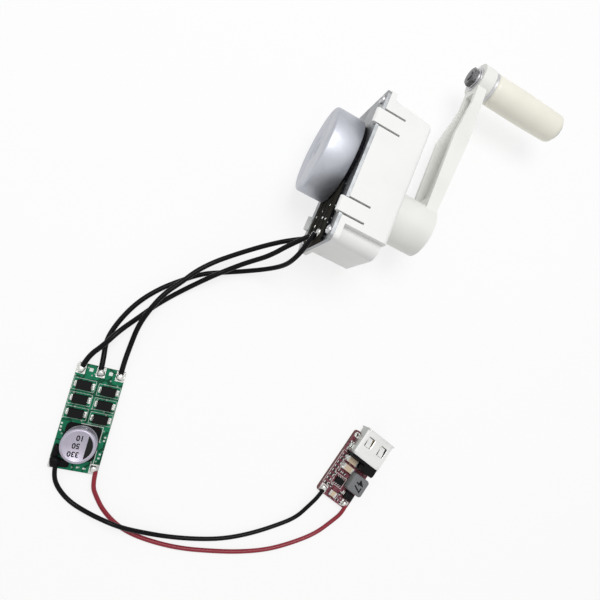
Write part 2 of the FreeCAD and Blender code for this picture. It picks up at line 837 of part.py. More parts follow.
def make_crank_arm():
    """Channel section arm with a drum hub at its root and a boss at its tip."""
    body = new_body("crank_arm", 0, s.crank_y, axis_height)
    wide, neck, tip = s.arm_half_width, s.arm_neck_width, s.arm_tip_width
    flare, settled, reach = s.arm_flare_start, s.arm_flare_end, s.crank_radius
    middle = (flare + settled) / 2
    waist = (wide + neck) / 2
    run, rise = (settled - flare) / 2, (wide - neck) / 2
    bend = (run * run + rise * rise) / (2 * rise)
    blank_start, blank_end = arm_inner_root - 1, boss_end + 1
    plan = sketch_on(body, "YZ", blank_start)
    outline(plan, [(flare, -wide), (middle, -waist, bend), (settled, -neck, -bend),
                   (reach, -tip), (reach, tip), (settled, neck), (middle, waist, -bend),
                   (flare, wide, bend), (as_size(0), wide), (-wide, as_size(0), wide),
                   (as_size(0), -wide, wide)])
    pad(body, plan, blank_end - blank_start)
    far = reach + s.boss_radius + 5
    near = -(wide + 5)
    height = wide + 2
    inner_side = sketch_on(body, "XY", -height)
    outline(inner_side, [(arm_inner_root, near), (arm_inner_root, flare),
                         (arm_inner_tip, settled), (arm_inner_tip, far),
                         (blank_start - 1, far), (blank_start - 1, near)])
    cut(body, inner_side, height * 2)
    outer_side = sketch_on(body, "XY", -height)
    outline(outer_side, [(blank_end + 1, near), (blank_end + 1, far), (arm_outer_tip, far),
                         (arm_outer_tip, settled - 4), (hub_end, s.hub_radius - 1),
                         (hub_end, near)])
    cut(body, outer_side, height * 2)
    outside = (hub_end, hub_end + s.arm_tip_rise * 0.6, arm_outer_tip, arm_outer_tip)
    widths = (wide, wide, neck, tip)
    stations = (s.hub_radius + 1.6, flare, settled, reach - s.boss_radius - 1)
    sections = []
    for station, outer_face, half_width in zip(stations, outside, widths):
        section = sketch_on(body, "XZ", -station)
        rectangle(section, blank_start - 1, outer_face - s.arm_web,
                  s.arm_rim - half_width, half_width - s.arm_rim)
        sections.append(section)
    loft(body, sections, "SubtractiveLoft")
    disc(body, hub_start, hub_end - hub_start, s.hub_radius)
    disc(body, arm_inner_tip, boss_end - arm_inner_tip, s.boss_radius, reach)
    pocket = sketch_on(body, "YZ", hub_start)
    circle(pocket, 0, 0, s.hub_radius - s.arm_rim)
    circle(pocket, 0, 0, s.crank_shaft_radius + 2)
    cut(body, pocket, s.hub_pocket)
    bore(body, hub_start, shaft_end - hub_start + 0.1,
         s.crank_shaft_radius + s.seat_gap)
    bore(body, hub_start, hub_end - hub_start + 1, s.screw_radius * 2 + 0.1)
    bore(body, arm_inner_tip - 1, boss_end - arm_inner_tip + 2,
         s.bolt_radius + s.seat_gap, reach)
    fillet(body, as_size(0.7), lambda e: lies_at(e, 0, boss_end)
           and e.BoundBox.ZLength > s.boss_radius.value * 1.5)


def make_crank_fasteners():
    """Hub screw with its washer, and the bolt, washers and nut that carry the grip."""
    y, z = s.crank_y, axis_height
    screw = s.screw_radius * 2
    seat = hub_end + 0.8
    head = s.hub_screw_radius
    ring("hub_washer", y, z, hub_end, seat, head + 0.6, screw + 0.15)
    turned("hub_screw", y, z,
           [(shaft_end - 8, as_size(0)), (seat + 1.8, as_size(0)),
            (seat + 1.8, head - 2), (seat + 0.8, head, 2.5),
            (seat, head), (seat, screw), (shaft_end - 8, screw)])
    tip = s.crank_y + s.crank_radius
    head = grip_end - s.head_recess + 0.15
    nut_face = arm_inner_tip - s.nut_washer
    turned("grip_bolt", tip, z,
           [(nut_face - s.nut_height - 0.5, as_size(0)),
            (head + s.bolt_head_height, as_size(0)),
            (head + s.bolt_head_height, s.bolt_head_radius - 1.8),
            (head + 0.6, s.bolt_head_radius, 2.3), (head, s.bolt_head_radius),
            (head, s.bolt_radius), (nut_face - s.nut_height - 0.5, s.bolt_radius)])
    ring("grip_washer", tip, z, boss_end, boss_end + s.washer_thickness,
         s.grip_middle_radius - 0.1, s.bolt_radius + 0.1)
    ring("nut_washer", tip, z, nut_face, arm_inner_tip, s.nut_radius + 1,
         s.bolt_radius + 0.1)
    nut = new_body("grip_nut", 0, tip, z)
    hexagon = sketch_on(nut, "YZ", nut_face - s.nut_height)
    flat = s.nut_radius
    corners = []
    for corner in range(6):
        angle = math.radians(60 * corner + 20)
        corners.append((flat * math.cos(angle), flat * math.sin(angle)))
    outline(hexagon, corners)
    circle(hexagon, 0, 0, s.bolt_radius + s.seat_gap)
    pad(nut, hexagon, s.nut_height)


def make_grip():
    """Barrel grip that spins on its bolt."""
    start, end, middle = grip_start, grip_end, grip_start + s.grip_middle
    base, belly, last = s.grip_base_radius, s.grip_middle_radius, s.grip_end_radius
    mouth = s.bolt_head_radius + 0.3
    turned("crank_grip", s.crank_y + s.crank_radius, axis_height,
           [(end - s.head_recess, s.grip_bore), (end - s.head_recess, mouth), (end, mouth),
            (end + mouth - last, last, last - mouth),
            (middle, belly, 420.0), (start + 0.8, base, 300.0), (start, base - 0.8),
            (start, s.grip_bore)])


def on_rectifier(body):
    return place(body, s.rectifier_x, s.rectifier_y, s.rectifier_turn)


def on_module(body):
    return place(body, s.module_x, s.module_y, s.module_turn)


def blocks(label, boxes, bottom, top, seat):
    """A group of upright blocks in a board's frame: each box is (x0, x1, y0, y1)."""
    body = new_body(label)
    sketch = sketch_on(body, "XY", bottom)
    for box in boxes:
        rectangle(sketch, *box)
    pad(body, sketch, top - bottom)
    return seat(body)


def diode_places():
    """Six diodes in three rows and two columns; the right column sits a little lower."""
    for row in range(3):
        for column in (-1, 1):
            yield column * s.diode_column, s.diode_first - row * s.diode_row - 0.25 * column


def make_rectifier():
    """Green board that turns three phases into direct current."""
    half_w, half_l = s.rectifier_width / 2, s.rectifier_length / 2
    top = s.card_thickness
    card = new_body("rectifier_board")
    face = sketch_on(card, "XY")
    rounded_rectangle(face, -half_w, half_w, -half_l, half_l, as_size(0.6))
    pad(card, face, top)
    on_rectifier(card)

    half_length, half_width = s.diode_length / 2, s.diode_width / 2
    bodies = [(x - half_length, x + half_length, y - half_width, y + half_width)
              for x, y in diode_places()]
    diodes = blocks("rectifier_diodes", bodies, top + 0.1, top + s.diode_height, on_rectifier)
    chamfer(diodes, as_size(0.25), lambda e: lies_at(e, 2, top + s.diode_height))
    leads = [(x - half_length - s.diode_lead, x + half_length + s.diode_lead, y - 0.75, y + 0.75)
             for x, y in diode_places()]
    legs = blocks("diode_leads", leads, top, top + 1.1, on_rectifier)
    gaps = sketch_on(legs, "XY", top)
    for box in bodies:
        rectangle(gaps, *box)
    cut(legs, gaps, as_size(2))

    half_base = s.can_base / 2
    foot = new_body("capacitor_base")
    square = sketch_on(foot, "XY", top)
    bevel = 2.6
    x0, x1 = s.can_x - half_base, s.can_x + half_base
    y0, y1 = s.can_y - half_base, s.can_y + half_base
    outline(square, [(x1, y0), (x1, y1), (x0 + bevel, y1), (x0, y1 - bevel), (x0, y0 + bevel),
                     (x0 + bevel, y0)])
    pad(foot, square, s.can_base_height)
    on_rectifier(foot)
    can_seat = top + s.can_base_height
    can = new_body("capacitor_can")
    drum = sketch_on(can, "XY", can_seat)
    circle(drum, s.can_x, s.can_y, s.can_radius)
    pad(can, drum, s.can_height)
    waist = sketch_on(can, "XY", can_seat + 1.6)
    circle(waist, s.can_x, s.can_y, s.can_radius + 1)
    circle(waist, s.can_x, s.can_y, s.can_radius - 0.4)
    cut(can, waist, as_size(0.8))
    fillet(can, as_size(0.8), lambda e: lies_at(e, 2, can_seat + s.can_height))
    on_rectifier(can)

    joints = []
    for column in (-1, 0, 1):
        joints.append((column * s.pad_pitch - 1.5, column * s.pad_pitch + 1.5, half_l - 3.6,
                       half_l - 0.6))
    for column in (-1, 1):
        joints.append((column * s.pad_pitch - 1.5, column * s.pad_pitch + 1.5, 0.6 - half_l,
                       3.4 - half_l))
    solder = blocks("rectifier_solder", joints, top, top + 1.7, on_rectifier)
    chamfer(solder, as_size(0.8), lambda e: runs_along(e, 2))
    chamfer(solder, as_size(0.6), lambda e: lies_at(e, 2, top + 1.7))


def make_module():
    """Step-down board with its USB socket, inductor and small parts."""
    half_w, half_l = s.module_width / 2, s.module_length / 2
    top = s.card_thickness
    card = new_body("usb_board")
    face = sketch_on(card, "XY")
    rounded_rectangle(face, -half_w, half_w, -half_l, half_l, as_size(1.2))
    circle(face, 0.9 - half_w + 0.6, half_l - 1.8, 0.6)
    pad(card, face, top)
    on_module(card)

    front = half_l + s.socket_overhang
    rear = front - s.socket_length
    left, right = s.socket_x - s.socket_width / 2, s.socket_x + s.socket_width / 2
    sheet = s.socket_sheet
    roof = top + s.socket_height
    shell = new_body("usb_shell")
    tube = sketch_on(shell, "XZ", -front)
    rounded_rectangle(tube, left, right, top, roof, as_size(0.7))
    rounded_rectangle(tube, left + sheet, right - sheet, top + sheet, roof - sheet,
                      as_size(0.4))
    pad(shell, tube, s.socket_length)
    lip = sketch_on(shell, "XZ", -front)
    flare = s.lip_flare
    rounded_rectangle(lip, left - flare, right + flare, top + 0.1, roof + flare, as_size(0.9))
    rounded_rectangle(lip, left + sheet, right - sheet, top + sheet, roof - sheet,
                      as_size(0.4))
    pad(shell, lip, s.lip_length)
    windows = sketch_on(shell, "XY", roof - 1)
    tip, root = front - 2.4, front - 6.6
    for column in (-1, 1):
        x = s.socket_x + column * 3.3
        outline(windows, [(x + 1.5, root), (x + 1.5, tip), (x - 1.5, tip), (x - 1.5, root),
                          (x - 1.1, root), (x - 1.1, tip - 0.4), (x + 1.1, tip - 0.4),
                          (x + 1.1, root)])
    cut(shell, windows, as_size(2))
    on_module(shell)

    middle = top + s.socket_height / 2
    tongue = new_body("usb_tongue")
    blade = sketch_on(tongue, "XY", middle - s.tongue_thickness / 2)
    rectangle(blade, s.socket_x - 5.6, s.socket_x + 5.6, rear + 1.0, front - 1.2)
    pad(tongue, blade, s.tongue_thickness)
    rear_wall = sketch_on(tongue, "XZ", -(rear + 2))
    rounded_rectangle(rear_wall, left + sheet + 0.05, right - sheet - 0.05,
                      top + sheet + 0.05, roof - sheet - 0.05, as_size(0.4))
    pad(tongue, rear_wall, as_size(1.9))
    on_module(tongue)
    contacts = []
    for column in (-3.5, -1.1, 1.1, 3.5):
        contacts.append((s.socket_x + column - 0.5, s.socket_x + column + 0.5, rear + 2.2,
                         front - 1.6))
    blocks("usb_contacts", contacts, middle + s.tongue_thickness / 2,
           middle + s.tongue_thickness / 2 + 0.2, on_module)
    cover = new_body("usb_rear_cover")
    lump = sketch_on(cover, "XY", top)
    step = s.socket_x + 0.6
    outline(lump, [(right - 0.3, rear - 3.7), (right - 0.3, rear), (left + 0.3, rear),
                   (left + 0.3, rear - 1.1), (step, rear - 1.1), (step, rear - 3.7)])
    pad(cover, lump, s.socket_height - 0.6)
    chamfer(cover, as_size(0.8),
            lambda e: lies_at(e, 2, roof - 0.6) and lies_at(e, 1, rear - 3.7))
    on_module(cover)

    half = s.inductor_size / 2
    x, y = half_w - half + 0.5, as_size(-3.6)
    coil = blocks("inductor", [(x - half, x + half, y - half, y + half)], top,
                  top + s.inductor_height, on_module)
    chamfer(coil, as_size(0.9), lambda e: runs_along(e, 2))
    blocks("power_diode", [(4.9 - 2.5, 4.9 + 2.5, -9.2 - 1.6, -9.2 + 1.6)], as_size(top),
           top + 2.0, on_module)
    blocks("ceramic_capacitors",
           [(-4.4, 0.4, 1.7, 3.9), (-4.1, 0.4, -1.7, 0.5), (-3.0, 0.2, -13.2, -10.9)],
           as_size(top), top + 1.6, on_module)
    blocks("converter_chip", [(-4.3, 0.7, -8.5, -4.6)], as_size(top), top + 1.3, on_module)
    chips = []
    for row in range(8):
        y0 = 3.0 - row * 1.85
        chips.append((-7.1, -5.3, y0 - 0.5, y0 + 0.5))
    blocks("chip_resistors", chips, as_size(top), top + 0.6, on_module)
    joints = [(-7.0, -4.2, -13.6, -11.0), (4.2, 7.0, -13.6, -11.4)]
    solder = blocks("usb_solder", joints, as_size(top), top + 1.5, on_module)
    chamfer(solder, as_size(0.7), lambda e: runs_along(e, 2))
    chamfer(solder, as_size(0.5), lambda e: lies_at(e, 2, top + 1.5))


# Routes of the free wires, chosen by hand from the stator board to the USB module
PHASE_ROUTES = {
    "phase_wire_a": [(-13.4, -29.5, 15.0), (-18.6, -32.6, 14.4), (-24.5, -36.8, 11.6),
                     (-30.2, -41.5, 9.0), (-35.2, -46.0, 7.2), (-40.0, -50.7, 6.2),
                     (-44.6, -56.5, 6.1), (-47.9, -62.8, 6.1), (-51.7, -69.0, 6.2),
                     (-54.0, -76.2, 6.2), (-55.3, -83.5, 4.6), (-54.9, -90.9, 2.4),
                     (-54.3, -97.9, 2.8), (-53.6, -101.7, 2.8)],
    "phase_wire_b": [(-13.4, -29.5, 21.0), (-18.4, -35.0, 19.4), (-23.1, -41.4, 14.6),
                     (-29.0, -46.2, 10.0), (-33.5, -50.5, 6.4), (-38.2, -55.6, 6.0),
                     (-42.9, -61.0, 2.8), (-48.3, -67.7, 1.0), (-53.0, -74.4, 1.0),
                     (-56.6, -81.0, 1.8), (-60.4, -87.6, 6.2), (-63.2, -94.5, 6.8),
                     (-66.2, -99.6, 4.6), (-66.7, -103.7, 2.8)],
    "phase_wire_c": [(-13.4, -29.5, 27.0), (-14.2, -34.6, 25.8), (-15.2, -39.4, 21.6),
                     (-16.2, -41.9, 15.6), (-18.9, -43.8, 9.6), (-23.6, -46.3, 4.8),
                     (-29.1, -49.1, 1.8), (-35.2, -52.3, 1.0), (-41.7, -55.8, 1.0),
                     (-48.0, -61.5, 1.0), (-54.2, -68.1, 1.0), (-59.2, -75.8, 1.0),
                     (-62.3, -84.6, 1.0), (-63.4, -92.6, 1.0), (-61.3, -99.1, 2.7),
                     (-60.5, -102.8, 2.8)],
}
SUPPLY_ROUTES = {
    "dc_wire_black": [(-60.9, -137.2, 2.6), (-59.9, -141.2, 2.6), (-57.0, -145.1, 1.3),
                      (-51.5, -148.4, 0.9), (-44.7, -149.6, 2.4), (-37.8, -149.6, 5.6),
                      (-31.3, -150.0, 5.6), (-23.9, -150.4, 2.4), (-14.0, -149.6, 0.9),
                      (-3.4, -147.2, 0.9), (5.8, -144.2, 0.9), (14.7, -139.6, 0.9),
                      (22.8, -134.1, 0.9), (29.7, -128.4, 1.4), (32.8, -122.4, 2.0),
                      (34.9, -118.0, 2.5), (35.8, -114.9, 2.5)],
    "dc_wire_red": [(-47.4, -135.8, 2.6), (-46.4, -140.7, 2.5), (-43.5, -144.2, 0.9),
                    (-39.7, -147.6, 0.9), (-33.7, -150.8, 0.9), (-26.9, -152.5, 0.9),
                    (-17.5, -152.8, 0.9), (-7.7, -152.0, 0.9), (2.7, -149.8, 0.9),
                    (13.0, -147.1, 0.9), (23.3, -143.2, 0.9), (31.9, -138.0, 0.9),
                    (40.1, -131.7, 0.9), (44.6, -125.0, 1.6), (47.2, -120.6, 2.2),
                    (47.4, -117.3, 2.5)],
}


def cord(label, route, diameter):
    """A wire as straight runs joined by tangent arcs, each as large as its runs allow."""
    points = [Vector(*point) for point in route]
    edges = []
    radii = []
    start = points[0]
    for before, corner, after in zip(points, points[1:], points[2:]):
        arriving, leaving = corner - before, after - corner
        turn = arriving.getAngle(leaving)
        reach = 0.45 * min(arriving.Length, leaving.Length)
        radii.append(reach / math.tan(turn / 2))
        arrive_unit, leave_unit = arriving / arriving.Length, leaving / leaving.Length
        enter, leave = corner - arrive_unit * reach, corner + leave_unit * reach
        inward = (leave_unit - arrive_unit).normalize()
        rise = radii[-1] / math.cos(turn / 2) - radii[-1]
        edges.append(Part.LineSegment(start, enter).toShape())
        edges.append(Part.Arc(enter, corner + inward * rise, leave).toShape())
        start = leave
    edges.append(Part.LineSegment(start, points[-1]).toShape())
    path = Part.Wire(edges)
    section = Part.Circle(points[0], points[1] - points[0], diameter.value / 2).toShape()
    tube = path.makePipeShell([Part.Wire([section])], True, False)
    expected = math.pi * diameter.value ** 2 / 4 * path.Length
    feature = doc.addObject("Part::Feature", label)
    feature.Label = label
    feature.Shape = tube
    nodes.append(feature)
    print(f"{label}: length {path.Length:.1f} mm, arc radii "
          f"{', '.join(f'{r:.1f}' for r in radii)}, volume ratio {tube.Volume / expected:.4f}")


make_housing()
make_plate()
make_plate_screws()
make_gears()
make_idler_pins()
make_crank_shaft()
make_generator()
make_crank_arm()
make_crank_fasteners()
make_grip()
make_rectifier()
make_module()
for name, route in PHASE_ROUTES.items():
    cord(name, route, s.phase_wire)
for name, route in SUPPLY_ROUTES.items():
    cord(name, route, s.supply_wire)
doc.recompute()

failed = [o.Label for o in doc.Objects if "Invalid" in o.State or "Error" in o.State]
for node in nodes:
    if node.Shape.isNull() or not node.Shape.isValid() or not node.Shape.Solids:
        failed.append(node.Label)
if failed:
    raise RuntimeError("failed: " + ", ".join(failed))

os.makedirs("parts", exist_ok=True)
for node in nodes:
    node.Shape.exportStep(os.path.join("parts", node.Label + ".step"))
    box = node.Shape.BoundBox
    print(f"{node.Label}: {len(node.Shape.Solids)} solids, {node.Shape.Volume:.1f} mm3, "
          f"X {box.XMin:.1f} {box.XMax:.1f} Y {box.YMin:.1f} {box.YMax:.1f} "
          f"Z {box.ZMin:.1f} {box.ZMax:.1f}")
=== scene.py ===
"""Hand crank phone charger: the looks of its gearbox, generator, crank, boards and wires.

Lengths in this file are millimetres in the part's own frame, until they go into a mesh.
"""
import json
import math

import bmesh
import bpy
import numpy as np
from mathutils import Euler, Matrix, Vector


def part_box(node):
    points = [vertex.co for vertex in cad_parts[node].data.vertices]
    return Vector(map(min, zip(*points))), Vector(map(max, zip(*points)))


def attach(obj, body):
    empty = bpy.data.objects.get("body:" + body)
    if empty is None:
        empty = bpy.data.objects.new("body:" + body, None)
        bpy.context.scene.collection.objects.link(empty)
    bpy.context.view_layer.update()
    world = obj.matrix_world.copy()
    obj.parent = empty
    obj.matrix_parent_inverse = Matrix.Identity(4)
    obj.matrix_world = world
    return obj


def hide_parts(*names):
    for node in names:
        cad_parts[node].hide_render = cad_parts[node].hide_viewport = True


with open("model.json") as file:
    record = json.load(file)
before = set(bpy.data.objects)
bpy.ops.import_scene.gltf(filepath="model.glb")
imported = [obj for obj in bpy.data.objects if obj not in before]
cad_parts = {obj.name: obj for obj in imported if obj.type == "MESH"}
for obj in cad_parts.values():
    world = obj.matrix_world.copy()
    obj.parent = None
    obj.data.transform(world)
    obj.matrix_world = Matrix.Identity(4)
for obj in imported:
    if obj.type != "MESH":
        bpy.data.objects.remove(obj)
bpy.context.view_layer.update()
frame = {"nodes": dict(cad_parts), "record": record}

bl_info = {
    "name": "Hand crank charger",
    "version": (1, 0, 0),
    "blender": (4, 5, 0),
    "location": "View3D > Sidebar > Charger",
    "description": "Builds the pieces and finishes of a hand crank phone charger",
    "category": "Object",
}

MM = 0.001
TURN = 2 * math.pi

# Where the two boards lie: middle x, middle y and turn in degrees
RECTIFIER = (-57.55, -120.15, 8.8)
MODULE = (44.6, -103.6, -14.6)
CARD_TOP = 1.6
SEATS = {"rectifier": RECTIFIER, "module": MODULE}

# The two shafts' axes and the grip's, all at one height
AXIS_HEIGHT = 19.0
ROTOR_Y = 2.9
CRANK_Y = -7.0
GRIP_Y = 65.0

PHASE_ROUTES = {
    "phase_wire_a": [(-13.4, -29.5, 15.0), (-18.6, -32.6, 14.4), (-24.5, -36.8, 11.6),
                     (-30.2, -41.5, 9.0), (-35.2, -46.0, 7.2), (-40.0, -50.7, 6.2),
                     (-44.6, -56.5, 6.1), (-47.9, -62.8, 6.1), (-51.7, -69.0, 6.2),
                     (-54.0, -76.2, 6.2), (-55.3, -83.5, 4.6), (-54.9, -90.9, 2.4),
                     (-54.3, -97.9, 2.8), (-53.6, -101.7, 2.8)],
    "phase_wire_b": [(-13.4, -29.5, 21.0), (-18.4, -35.0, 19.4), (-23.1, -41.4, 14.6),
                     (-29.0, -46.2, 10.0), (-33.5, -50.5, 6.4), (-38.2, -55.6, 6.0),
                     (-42.9, -61.0, 2.8), (-48.3, -67.7, 1.0), (-53.0, -74.4, 1.0),
                     (-56.6, -81.0, 1.8), (-60.4, -87.6, 6.2), (-63.2, -94.5, 6.8),
                     (-66.2, -99.6, 4.6), (-66.7, -103.7, 2.8)],
    "phase_wire_c": [(-13.4, -29.5, 27.0), (-14.2, -34.6, 25.8), (-15.2, -39.4, 21.6),
                     (-16.2, -41.9, 15.6), (-18.9, -43.8, 9.6), (-23.6, -46.3, 4.8),
                     (-29.1, -49.1, 1.8), (-35.2, -52.3, 1.0), (-41.7, -55.8, 1.0),
                     (-48.0, -61.5, 1.0), (-54.2, -68.1, 1.0), (-59.2, -75.8, 1.0),
                     (-62.3, -84.6, 1.0), (-63.4, -92.6, 1.0), (-61.3, -99.1, 2.7),
                     (-60.5, -102.8, 2.8)],
}
SUPPLY_ROUTES = {
    "dc_wire_black": [(-60.9, -137.2, 2.6), (-59.9, -141.2, 2.6), (-57.0, -145.1, 1.3),
                      (-51.5, -148.4, 0.9), (-44.7, -149.6, 2.4), (-37.8, -149.6, 5.6),
                      (-31.3, -150.0, 5.6), (-23.9, -150.4, 2.4), (-14.0, -149.6, 0.9),
                      (-3.4, -147.2, 0.9), (5.8, -144.2, 0.9), (14.7, -139.6, 0.9),
                      (22.8, -134.1, 0.9), (29.7, -128.4, 1.4), (32.8, -122.4, 2.0),
                      (34.9, -118.0, 2.5), (35.8, -114.9, 2.5)],
    "dc_wire_red": [(-47.4, -135.8, 2.6), (-46.4, -140.7, 2.5), (-43.5, -144.2, 0.9),
                    (-39.7, -147.6, 0.9), (-33.7, -150.8, 0.9), (-26.9, -152.5, 0.9),
                    (-17.5, -152.8, 0.9), (-7.7, -152.0, 0.9), (2.7, -149.8, 0.9),
                    (13.0, -147.1, 0.9), (23.3, -143.2, 0.9), (31.9, -138.0, 0.9),
                    (40.1, -131.7, 0.9), (44.6, -125.0, 1.6), (47.2, -120.6, 2.2),
                    (47.4, -117.3, 2.5)],
}
JOINT_HEIGHTS = [route[0][2] for route in PHASE_ROUTES.values()]


class ChargerLooks(bpy.types.PropertyGroup):
    """Sizes and colours that a user may want to change."""

    housing_colour: bpy.props.FloatVectorProperty(
        name="Housing", description="Colour of the moulded gearbox housing",
        subtype="COLOR", size=3, min=0, max=1, default=(0.86, 0.865, 0.85))
    arm_colour: bpy.props.FloatVectorProperty(
        name="Crank arm", description="Colour of the crank's channel arm",
        subtype="COLOR", size=3, min=0, max=1, default=(0.83, 0.83, 0.8))
    grip_colour: bpy.props.FloatVectorProperty(
        name="Grip", description="Colour of the ivory grip",
        subtype="COLOR", size=3, min=0, max=1, default=(0.86, 0.84, 0.74))
    rotor_colour: bpy.props.FloatVectorProperty(
        name="Rotor cup", description="Colour of the plated rotor cup",
        subtype="COLOR", size=3, min=0, max=1, default=(0.5, 0.515, 0.56))
    rectifier_colour: bpy.props.FloatVectorProperty(
        name="Rectifier mask", description="Colour of the rectifier board's solder mask",
        subtype="COLOR", size=3, min=0, max=1, default=(0.01, 0.17, 0.085))
    module_colour: bpy.props.FloatVectorProperty(
        name="Module mask", description="Colour of the USB module's solder mask",
        subtype="COLOR", size=3, min=0, max=1, default=(0.2, 0.07, 0.09))
    red_colour: bpy.props.FloatVectorProperty(
        name="Red wire", description="Colour of the red supply wire",
        subtype="COLOR", size=3, min=0, max=1, default=(0.26, 0.01, 0.025))
    phase_diameter: bpy.props.FloatProperty(
        name="Phase wires", description="Diameter over the insulation of the three phase wires",
        unit="LENGTH", min=0.001, max=0.004, default=0.0019)
    supply_diameter: bpy.props.FloatProperty(
        name="Supply wires", description="Diameter over the insulation of the supply wires",
        unit="LENGTH", min=0.001, max=0.004, default=0.0016)
    can_numbers: bpy.props.StringProperty(
        name="Can numbers", description="Plain numbers on the capacitor, one line each",
        default="330 50 10")
    inductor_number: bpy.props.StringProperty(
        name="Inductor number", description="Plain number on the inductor", default="47")


def looks():
    """The scene's own ChargerLooks."""
    return bpy.context.scene.charger_looks


class Graph:
    """A node tree with one call that adds a node and joins or sets its inputs."""

    def __init__(self, tree):
        self.tree = tree

    def add(self, kind, inputs=None, **settings):
        """Adds a node; inputs maps a socket's name or number to a value or to a socket."""
        node = self.tree.nodes.new(kind)
        for name, value in settings.items():
            setattr(node, name, value)
        for name, value in (inputs or {}).items():
            if isinstance(value, bpy.types.NodeSocket):
                self.tree.links.new(value, node.inputs[name])
            else:
                node.inputs[name].default_value = value
        return node

    def maths(self, operation, first, second=0.0, clamp=False):
        """The result of one sum on two values or sockets."""
        node = self.add("ShaderNodeMath", {0: first, 1: second}, operation=operation,
                        use_clamp=clamp)
        return node.outputs[0]

    def ramp(self, value, low, high, start=0.0, end=1.0):
        """Value mapped smoothly from low..high to start..end."""
        node = self.add("ShaderNodeMapRange",
                        {"Value": value, "From Min": low, "From Max": high,
                         "To Min": start, "To Max": end}, interpolation_type="SMOOTHSTEP")
        return node.outputs["Result"]

    def mix(self, factor, first, second, blend_type="MIX"):
        """Two colours mixed by a factor."""
        node = self.add("ShaderNodeMix", data_type="RGBA", blend_type=blend_type)
        for socket, value in ((node.inputs[0], factor), (node.inputs[6], first),
                              (node.inputs[7], second)):
            if isinstance(value, bpy.types.NodeSocket):
                self.tree.links.new(value, socket)
            else:
                socket.default_value = value
        return node.outputs[2]

    def noise(self, vector, scale, detail=3.0, roughness=0.5):
        """Noise of about one over scale metres across."""
        node = self.add("ShaderNodeTexNoise", {"Vector": vector, "Scale": scale,
                                               "Detail": detail, "Roughness": roughness})
        return node.outputs["Fac"]


SOCKETS = {"Vector": "NodeSocketVector", "Colour": "NodeSocketColor",
           "Second colour": "NodeSocketColor", "Edge colour": "NodeSocketColor"}


def new_group(name, inputs, outputs=("Colour", "Roughness", "Height")):
    """An empty shader group with the named sockets: its graph, its inputs and its ends."""
    tree = bpy.data.node_groups.new(name, "ShaderNodeTree")
    for label in inputs:
        tree.interface.new_socket(name=label, in_out="INPUT",
                                  socket_type=SOCKETS.get(label, "NodeSocketFloat"))
    for label in outputs:
        tree.interface.new_socket(name=label, in_out="OUTPUT",
                                  socket_type=SOCKETS.get(label, "NodeSocketFloat"))
    graph = Graph(tree)
    source = tree.nodes.new("NodeGroupInput")
    end = tree.nodes.new("NodeGroupOutput")
    return graph, source.outputs, end.inputs


def group_moulded():
    """Moulded plastic: a fine grain, and a faint unevenness of tone from the moulding."""
    graph, given, end = new_group("moulded grain", ("Vector", "Colour", "Grain", "Shade",
                                                    "Roughness"))
    fine = graph.noise(given["Vector"], given["Grain"], 4.0)
    broad = graph.noise(given["Vector"], 70.0, 2.0)
    shade = graph.maths("MULTIPLY", graph.ramp(broad, 0.35, 0.7), given["Shade"])
    darker = graph.mix(1.0, given["Colour"], (0.72, 0.72, 0.7, 1), "MULTIPLY")
    uneven = graph.maths("MULTIPLY_ADD", fine, 0.16)
    graph.tree.links.new(given["Roughness"], uneven.node.inputs[2])
    graph.tree.links.new(graph.mix(shade, given["Colour"], darker), end["Colour"])
    graph.tree.links.new(graph.maths("SUBTRACT", uneven, 0.08, True), end["Roughness"])
    graph.tree.links.new(fine, end["Height"])


def group_turned():
    """Turned or plated metal: fine tool lines round the X axis, and cloudy darker patches: faint
    stains at a low Shade, and painted dark reflections at a high one.
    """
    graph, given, end = new_group("turned lines", ("Vector", "Colour", "Pitch", "Shade",
                                                   "Roughness"))
    rings = graph.add("ShaderNodeTexWave", {"Vector": given["Vector"], "Scale": given["Pitch"],
                                            "Distortion": 1.2, "Detail": 1.0},
                      wave_type="RINGS", rings_direction="X")
    bands = graph.add("ShaderNodeTexWave", {"Vector": given["Vector"], "Scale": given["Pitch"],
                                            "Distortion": 1.2, "Detail": 1.0},
                      wave_type="BANDS", bands_direction="X")
    lines = graph.maths("ADD", rings.outputs["Fac"], bands.outputs["Fac"])
    cloud = graph.noise(given["Vector"], 160.0, 4.0, 0.6)
    shade = graph.maths("MULTIPLY", graph.ramp(cloud, 0.4, 0.75), given["Shade"])
    darker = graph.mix(1.0, given["Colour"], (0.6, 0.6, 0.62, 1), "MULTIPLY")
    uneven = graph.maths("MULTIPLY_ADD", cloud, 0.2)
    graph.tree.links.new(given["Roughness"], uneven.node.inputs[2])
    graph.tree.links.new(graph.mix(shade, given["Colour"], darker), end["Colour"])
    graph.tree.links.new(graph.maths("SUBTRACT", uneven, 0.1, True), end["Roughness"])
    graph.tree.links.new(lines, end["Height"])


